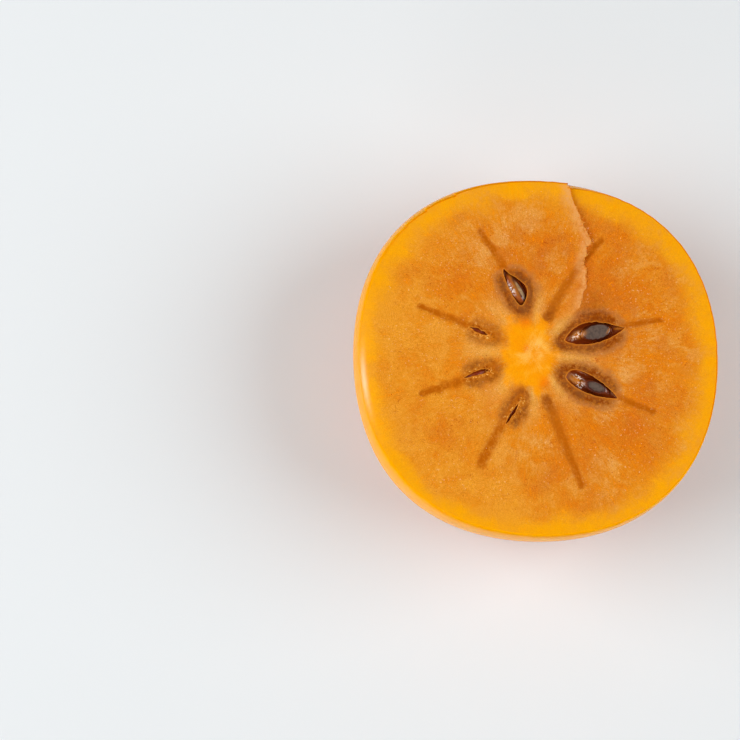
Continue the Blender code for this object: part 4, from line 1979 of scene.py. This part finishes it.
@dataclass
class SeedPiece(Grown):
    """One flat seed standing on edge in its chamber, sliced where the knife met it."""

    chamber: Chamber
    cut: CutFace
    finish: SeedFinish | None = None
    sides: int = 96
    rows: int = 120
    sharp: float = 40.0
    knife_rise: float = 0.2
    top_limit: float = 0.985
    drag_start: float = 4.5
    drag_end: float = 0.2

    def levels(self, grown: float, under: float) -> tuple[float, float, float]:
        """Work out how high the seed, or the room round it, stands.

        Args:
            grown: How much larger than the seed.
            under: How far under the cut it ends at most.

        Returns:
            Half its length, the height of its middle, and its top from there.
        """
        seed, knife = self.chamber.seed, self.cut.height + self.knife_rise
        half = seed.length / 2 + grown
        middle = knife + seed.rise - seed.length / 2
        return half, middle, min(self.top_limit * half, knife - under - middle)

    def grip(self) -> Pair:
        """Give the heights between which the knife's drag comes in."""
        return self.cut.height - self.drag_start, self.cut.height - self.drag_end

    def rings(self, sides: int, rows: int, grown: float, under: float) -> list[Array]:
        """Trace level rings of the room round the seed.

        Args:
            sides: Points in a ring.
            rows: How many rings a whole seed has.
            grown: How much larger than the seed.
            under: How far under the cut the last ring lies at most.

        Returns:
            The rings from the bottom up, each with one row for each point.
        """
        seed, (way, across) = self.chamber.seed, self.axes()
        half, middle, top = self.levels(grown, under)
        angle = circle(sides)
        made = []
        for row in range(rows + 1):
            level = min(half * math.sin(math.pi * (0.96 * row / rows - 0.46)), top)
            share = abs(level / half) ** seed.roundness
            size = (1 - share) ** (1 / seed.roundness) * (1 + seed.taper * level / half)
            drag = float(ease(*self.grip(), np.array(middle + level)))
            wide, thick = (1 + (stretch - 1) * drag for stretch in seed.stretch)
            flat = self.middle() + (seed.lean[0] * way + seed.lean[1] * across) * drag
            flat = flat + np.outer((seed.width / 2 * wide + grown) * size * np.cos(angle), way)
            flat = flat + np.outer((seed.thickness / 2 * thick + grown) * size * np.sin(angle), across)
            made.append(np.column_stack([flat, np.full(sides, middle + level)]))
            if level == top:
                break
        return made

    def axes(self) -> tuple[Array, Array]:
        """Give the directions along the chamber and across it.

        Returns:
            Two vectors of length one.
        """
        first, last = self.chamber.ends()
        way = (last - first) / np.hypot(*(last - first))
        return way, np.array([-way[1], way[0]])

    def middle(self) -> Array:
        """Give the middle of the seed in plan."""
        return self.chamber.ends()[0] + self.axes()[0] * self.chamber.seed.along + self.cut.middle

    def build(self) -> bpy.types.Object:
        """Build the seed.

        Returns:
            The finished object.
        """
        seed, (way, _) = self.chamber.seed, self.axes()
        half, middle, top = self.levels(0.0, seed.under_cut)
        low, high = self.grip()
        lengths = {
            "Half Length": half,
            "Top": top,
            "Crown": 0.05 if self.chamber.name.startswith("right") else 0.16,
            "Drag Low": low - middle,
            "Drag High": high - middle,
        }
        spans = {
            "Breadth": (seed.width / 2, seed.thickness / 2, 0.0),
            "Lean": (*seed.lean, 0.0),
            "Place": (*self.middle(), middle),
        }
        settings = {
            "Sides": self.sides,
            "Rings": self.rows,
            "Roundness": seed.roundness,
            "Taper": seed.taper,
            "Turn": math.atan2(way[1], way[0]),
            "Stretch": (*seed.stretch, 1.0),
            "Finish": self.finish.material(),
            **{label: length * MM for label, length in lengths.items()},
            **{label: tuple(float(length) * MM for length in span) for label, span in spans.items()},
        }
        name = "seed_coat_" + self.chamber.name
        host = add_object(name + "_host", bpy.data.meshes.new(name + "_host"))
        made = self.settle(host, self._shape(), settings, name)
        for label, tint in self._tints(read_points(made.data) / MM).items():
            write_values(made.data, label, tint)
        made.data.set_sharp_from_angle(angle=math.radians(self.sharp))
        return made

    @staticmethod
    @cache
    def _shape() -> Sheet:
        """Build the tree that every seed shares: a ball drawn out flat, sliced at its top and set in place.

        Returns:
            The tree.
        """
        kinds = {
            "Int": ("Sides", "Rings"),
            "Float": ("Half Length", "Roundness", "Taper", "Top", "Crown", "Drag Low", "Drag High", "Turn"),
            "Vector": ("Breadth", "Stretch", "Lean", "Place"),
        }
        inputs = {label: ("NodeSocket" + kind, None) for kind, labels in kinds.items() for label in labels}
        sheet, given = Grown.tree("seed_shape", inputs)
        sockets = {"Segments": given["Sides"], "Rings": given["Rings"], "Radius": 1.0}
        ball = sheet.node("GeometryNodeMeshUVSphere", sockets)["Mesh"]
        place = sheet.node("GeometryNodeInputPosition")["Position"]
        x, y, z = sheet.parts(place)
        half, top, power = given["Half Length"], given["Top"], given["Roundness"]
        level, sliced = (z * half).most(top), (z * half).over(top)
        size = (1 - (level / half).size() ** power) ** (1 / power) * (1 + given["Taper"] * level / half)
        reach = (x * x + y * y) ** 0.5
        rim = (1 - top * top / (half * half)) ** 0.5
        wrinkles = sheet.noise(place, 6, 3, 0.5)
        spread = size * (1 - wrinkles * 0.014) / (reach * (1 - sliced) + rim * sliced + 1e-6)
        drag = level.eased(given["Drag Low"], given["Drag High"])
        rows = zip((x, y), *(sheet.parts(given[label]) for label in ("Breadth", "Stretch", "Lean")))
        flat = [
            side * spread * breadth * (1 + (stretch - 1) * drag) + lean * drag
            for side, breadth, stretch, lean in rows
        ]
        height = level + given["Crown"] * sliced * (1 - reach * reach / (rim * rim))
        sockets = {"Geometry": ball, "Position": sheet.vector(*flat, height)}
        shaped = sheet.node("GeometryNodeSetPosition", sockets)["Geometry"]
        turn = sheet.vector(z=given["Turn"])
        sockets = {"Geometry": shaped, "Translation": given["Place"], "Rotation": turn}
        stood = sheet.node("GeometryNodeTransform", sockets)["Geometry"]
        Grown.finish_tree(sheet, given, stood)
        return sheet

    def _tints(self, points: Array) -> dict[str, Array]:
        """Tell where the knife or a worn seam bares the inside, and its dark edge.

        Args:
            points: The points, one row each.

        Returns:
            For each tint, values of 0 to 1.
        """
        seed = self.chamber.seed
        tints = {"cut": np.zeros(len(points)), "ring": np.zeros(len(points)), **self.cut.marked(points)}
        if seed.pale_spot:
            way, across = self.axes()
            off = points[:, :2] - self.middle() - seed.lean[0] * way - seed.lean[1] * across
            along, aside, half_length, half_width = seed.pale_spot
            reach = np.hypot((off @ way - along) / half_length, (off @ across - aside) / half_width)
            reach = reach + 0.07 * ripple(points[:, 0], points[:, 1], 1.4, 73)
            band = 0.24 / half_width
            outer = ease(1 + 1.6 * band, 1 + 0.5 * band, reach)
            tints["ring"] = outer * ease(1 - 0.4 * band, 1 + 0.3 * band, reach)
            tints["cut"] = ease(1 + 0.3 * band, 1 - 0.3 * band, reach)
        return tints


@dataclass
class StyleStub:
    """The dry stub of the style in the blossom-end dimple."""

    form: FruitForm
    finish: Finish
    radius: float = 1.15
    length: float = 1.5
    root: float = 0.5
    tip: float = 0.06
    sides: int = 40
    profile: tuple[Pair, ...] = (
        (0.0, 1.0),
        (0.25, 1.0),
        (0.36, 0.93),
        (0.5, 0.72),
        (0.7, 0.5),
        (0.86, 0.36),
        (1.0, 0.12),
    )

    def build(self) -> bpy.types.Object:
        """Build the stub.

        Returns:
            The finished object.
        """
        shell = Shell()
        pole, angle, above = self.form.pole(), circle(self.sides), None
        for share, size in self.profile:
            lobes = 0.22 * np.cos(4 * angle) * (1 - share)
            radius = self.radius * size * (1 + lobes + 0.05 * ripple(angle * 3, 0 * angle + share, 1.2, 81))
            height = np.full(self.sides, pole[2] + self.root - self.length * share)
            x, y = pole[0] + radius * np.cos(angle), pole[1] + radius * np.sin(angle)
            row = shell.add_points(np.column_stack([x, y, height]))
            if above is None:
                shell.cap(row[::-1], shell.middle(row), Surface.FLESH)
            else:
                shell.bridge(above, row, Surface.FLESH)
            above = row
        shell.cap(above, shell.middle(above) - np.array([0, 0, self.tip]), Surface.FLESH)
        return shell.to_object("style_stub", self.finish)


@dataclass
class TornShreds(Grown):
    """Shreds of flesh that the knife tore up along the slits and the step."""

    cut: CutFace
    finish: Finish
    spacing: float = 0.24
    length: float = 0.8
    width: float = 0.08
    seed: int = 7
    slit_part: Pair = (0.36, 0.64)
    step_part: tuple[int, int] = (30, 90)
    slits: tuple[str, ...] = ("left_upper", "left_lower", "bottom_left")
    sink: float = 0.02

    def build(self) -> bpy.types.Object:
        """Build the shreds.

        Returns:
            The finished object.
        """
        inputs = {
            "Spacing": ("NodeSocketFloat", self.spacing * MM),
            "Length": ("NodeSocketFloat", self.length * MM),
            "Width": ("NodeSocketFloat", self.width * MM),
            "Seed": ("NodeSocketInt", self.seed),
        }
        sheet, given = self.tree("torn_shreds", inputs)
        line = sheet.node("GeometryNodeMeshToCurve", {"Mesh": given["Geometry"]})["Curve"]
        sockets = {"Curve": line, "Length": given["Spacing"]}
        line = sheet.node("GeometryNodeResampleCurve", sockets, mode="LENGTH")["Curve"]
        sockets = {
            "Points": sheet.node("GeometryNodeCurveToPoints", {"Curve": line}, mode="EVALUATED")["Points"],
            "Instance": self._strand(sheet, given),
            "Rotation": self._random(sheet, given["Seed"], (1.3, 0.0, 0.0), (1.65, 0.0, 6.28)),
            "Scale": self._random(sheet, given["Seed"] + 1, (0.6, 0.6, 0.4), (1.4, 1.4, 1.2)),
        }
        crowd = sheet.node("GeometryNodeInstanceOnPoints", sockets)["Instances"]
        self.finish_tree(sheet, given, crowd, smooth=False)
        return self.settle(self._lines(), sheet, {"Finish": self.finish.material()}, "torn_shreds")

    @staticmethod
    def _random(sheet: Sheet, seed: Value, low: Point, high: Point) -> Value:
        """Add a random vector for each point."""
        sockets = {"Min": low, "Max": high, "Seed": seed}
        return sheet.node("FunctionNodeRandomValue", sockets, data_type="FLOAT_VECTOR")["Value"]

    @staticmethod
    def _strand(sheet: Sheet, given: Made) -> Value:
        """Add one tapered strand that others copy.

        Args:
            sheet: The tree so far.
            given: The group's inputs.

        Returns:
            The strand's mesh.
        """
        sockets = {
            "Vertices": 4,
            "Side Segments": 3,
            "Radius Top": given["Width"] * 0.25,
            "Radius Bottom": given["Width"],
            "Depth": given["Length"],
        }
        cone = sheet.node("GeometryNodeMeshCone", sockets)["Mesh"]
        up = sheet.parts(sheet.node("GeometryNodeInputPosition")["Position"])[2]
        sockets = {"Geometry": cone, "Offset": sheet.vector(up * up * 900)}
        return sheet.node("GeometryNodeSetPosition", sockets)["Geometry"]

    def _lines(self) -> bpy.types.Object:
        """Lay the edges that shreds stand on.

        Returns:
            An object with the slits' edges and part of the step.
        """
        points: list[Point] = []
        edges: list[tuple[int, int]] = []
        paths = [self.cut.mouths[name] for name in self.slits]
        first, last = self.slit_part
        paths = [path[int(first * len(path)) : int(last * len(path))] for path in paths]
        for path in (*paths, self.cut.step_path[slice(*self.step_part)]):
            start = len(points)
            height = self.cut.surface_height(*path.T) - self.sink
            points += (np.column_stack([path, height]) * MM).tolist()
            edges += [(start + i, start + i + 1) for i in range(len(path) - 1)]
        mesh = bpy.data.meshes.new("shred_lines")
        mesh.from_pydata(points, edges, [])
        return add_object("shred_lines", mesh)


@dataclass
class JuiceBeads(Grown):
    """Tiny beads of juice over the cut cells, thickest where the flesh is wettest."""

    cut: CutFace
    finish: Finish
    fruit: bpy.types.Object
    density: float = 3.0
    smallest: float = 0.03
    largest: float = 0.1
    flatness: float = 0.6
    reach: float = 35.5
    depth: float = 1.6
    seed: int = 4

    def build(self) -> bpy.types.Object:
        """Build the beads.

        Returns:
            The finished object.
        """
        inputs = {
            "Density": ("NodeSocketFloat", self.density / MM**2),
            "Smallest": ("NodeSocketFloat", self.smallest * MM),
            "Largest": ("NodeSocketFloat", self.largest * MM),
            "Seed": ("NodeSocketInt", self.seed),
        }
        sheet, given = self.tree("juice_beads", inputs)
        wet = sheet.node("GeometryNodeInputNamedAttribute", {"Name": "wet"})["Attribute"]
        sockets = {"Mesh": given["Geometry"], "Density": given["Density"] * wet, "Seed": given["Seed"]}
        spread = sheet.node("GeometryNodeDistributePointsOnFaces", sockets)["Points"]
        bead = sheet.node("GeometryNodeMeshIcoSphere", {"Radius": 1.0, "Subdivisions": 1})["Mesh"]
        sockets = {"Min_001": given["Smallest"], "Max_001": given["Largest"], "Seed": given["Seed"] + 1}
        size = sheet.node("FunctionNodeRandomValue", sockets, data_type="FLOAT")["Value_001"]
        shape = sheet.vector(size, size, size * self.flatness)
        sockets = {"Points": spread, "Instance": bead, "Scale": shape}
        self.finish_tree(sheet, given, sheet.node("GeometryNodeInstanceOnPoints", sockets)["Instances"])
        return self.settle(self._wet_face(), sheet, {"Finish": self.finish.material()}, "juice_beads")

    def _wet_face(self) -> bpy.types.Object:
        """Copy the cut face, with how wet each place is.

        Returns:
            The copy.
        """
        mesh = self.fruit.data.copy()
        x, y, z = (read_points(mesh) / MM).T
        hollow = np.empty(len(x), dtype=np.float32)
        mesh.attributes["hollow"].data.foreach_get("value", hollow)
        patches = ease(0.5, 1.1, ripple(x, y, 6.0, 91)) * ease(-0.3, 0.8, ripple(x, y, 1.6, 92))
        on_face = (z > self.cut.height - self.depth) & (np.hypot(x, y) < self.reach) & (hollow < 0.2)
        write_values(mesh, "wet", np.where(on_face, patches, 0.0))
        return add_object("wet_face", mesh)


@dataclass
class Studio:
    """A pale table, soft daylight and the photograph's camera."""

    floor: Finish
    floor_half: float = 3.0
    view_centre: Point = (-35.35, -2.73, 35.2)
    distance: float = 580.0
    elevation: float = 84.0
    frame_width: float = 157.3
    sensor: float = 36.0
    sky: float = 0.15
    lamps: tuple[tuple[str, Point, float, float], ...] = (
        ("left_window", (-0.9, 0.05, 0.7), 1.0, 8.6),
        ("high_window", (-0.6, 0.1, 1.05), 1.0, 2.1),
        ("right_window", (0.9, 0.0, 0.8), 1.0, 9.4),
        ("low_card", (-0.35, -1.15, 0.16), 0.6, 5.0),
    )

    def build(self) -> None:
        """Set up floor, light and camera."""
        self._add_floor()
        for lamp in self.lamps:
            self._add_light(*lamp)
        world = bpy.data.worlds.new("studio")
        world.use_nodes = True
        sheet = Sheet(world.node_tree)
        sky = sheet.node("ShaderNodeBackground", {"Color": (1.0, 1.0, 1.0, 1.0), "Strength": self.sky})
        sheet.node("ShaderNodeOutputWorld", {"Surface": sky["Background"]})
        bpy.context.scene.world = world
        bpy.context.scene.view_settings.view_transform = "Standard"
        self._add_camera()

    def _add_floor(self) -> None:
        """Lay the tabletop."""
        mesh = bpy.data.meshes.new("tabletop")
        far = self.floor_half
        mesh.from_pydata([(-far, -far, 0), (far, -far, 0), (far, far, 0), (-far, far, 0)], [], [(0, 1, 2, 3)])
        mesh.materials.append(self.floor.material())
        add_object("tabletop", mesh)

    @staticmethod
    def _add_light(name: str, place: Point, size: float, power: float) -> None:
        """Hang one soft lamp that faces the fruit.

        Args:
            name: The lamp's name.
            place: Where it hangs, in metres.
            size: How wide it is.
            power: Its power.
        """
        lamp = bpy.data.lights.new(name, "AREA")
        lamp.shape, lamp.size, lamp.energy = "DISK", size, power
        holder = add_object(name, lamp)
        holder.location = place
        holder.rotation_euler = (-Vector(place)).to_track_quat("-Z", "Y").to_euler()

    def _add_camera(self) -> None:
        """Set up the camera over the fruit."""
        lens = bpy.data.cameras.new("camera")
        lens.sensor_width, lens.lens = self.sensor, self.sensor * self.distance / self.frame_width
        lens.clip_start, lens.clip_end = 0.01, 20.0
        camera = add_object("camera", lens)
        tilt = math.radians(self.elevation)
        away = Vector((0.0, -math.cos(tilt), math.sin(tilt)))
        camera.location = (Vector(self.view_centre) + self.distance * away) * MM
        camera.rotation_euler = (math.radians(90) - tilt, 0.0, 0.0)
        bpy.context.scene.camera = camera


def dress(piece: bpy.types.Object, slot: str, *nodes: str) -> None:
    """Make a piece ride on the fruit's body, in place of its solids.

    Args:
        piece: The piece.
        slot: The record's material slot. It is not used.
        nodes: The solids it stands for.
    """
    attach(piece, "root")
    if nodes:
        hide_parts(*nodes)
    LOG.info("%s: %d faces", piece.name, len(piece.data.polygons))


def seed_finish(chamber: Chamber) -> SeedFinish:
    """Choose a seed's finish: redder under a slit's jelly and lighter as painted light, pale at the top, else
    brown.

    Args:
        chamber: The seed's chamber.

    Returns:
        Its finish.
    """
    if chamber.slit:
        # Lighter, redder coat: painted light for a seed lying in a slit's shade.
        return SeedFinish(
            "glossy_seed_coat_veiled_and_lit",
            coat=paint(150, 52, 8),
            coat_light=paint(182, 84, 18),
            coat_dark=paint(92, 26, 4),
            gloss=0.08,
        )
    if chamber.name == "top":
        return SeedFinish(
            "glossy_seed_coat_pale",
            coat=paint(112, 40, 4),
            coat_light=paint(164, 74, 10),
            inside=paint(170, 138, 92),
            inside_dark=paint(140, 104, 60),
        )
    return SeedFinish("glossy_seed_coat")


def main() -> None:
    """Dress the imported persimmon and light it."""
    logging.basicConfig(level=logging.INFO, format="%(message)s")
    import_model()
    Studio(TABLETOP).build()
    form = FruitForm().settled()
    cut = CutFace(persimmon_chambers())
    fruit = FruitPiece(form, cut, FleshFinish("cut_flesh"), SkinFinish("waxy_skin")).build()
    dress(fruit, "skin_and_flesh", "fruit_half")
    for chamber in cut.chambers:
        if chamber.seed:
            seed = SeedPiece(chamber, cut, seed_finish(chamber)).build()
            dress(seed, "seed_coat", "seed_" + chamber.name)
    for piece in (StyleStub(form, DRY_STYLE), TornShreds(cut, TORN_FLESH), JuiceBeads(cut, JUICE, fruit)):
        dress(piece.build(), "skin_and_flesh")


if __name__ == "__main__":
    main()
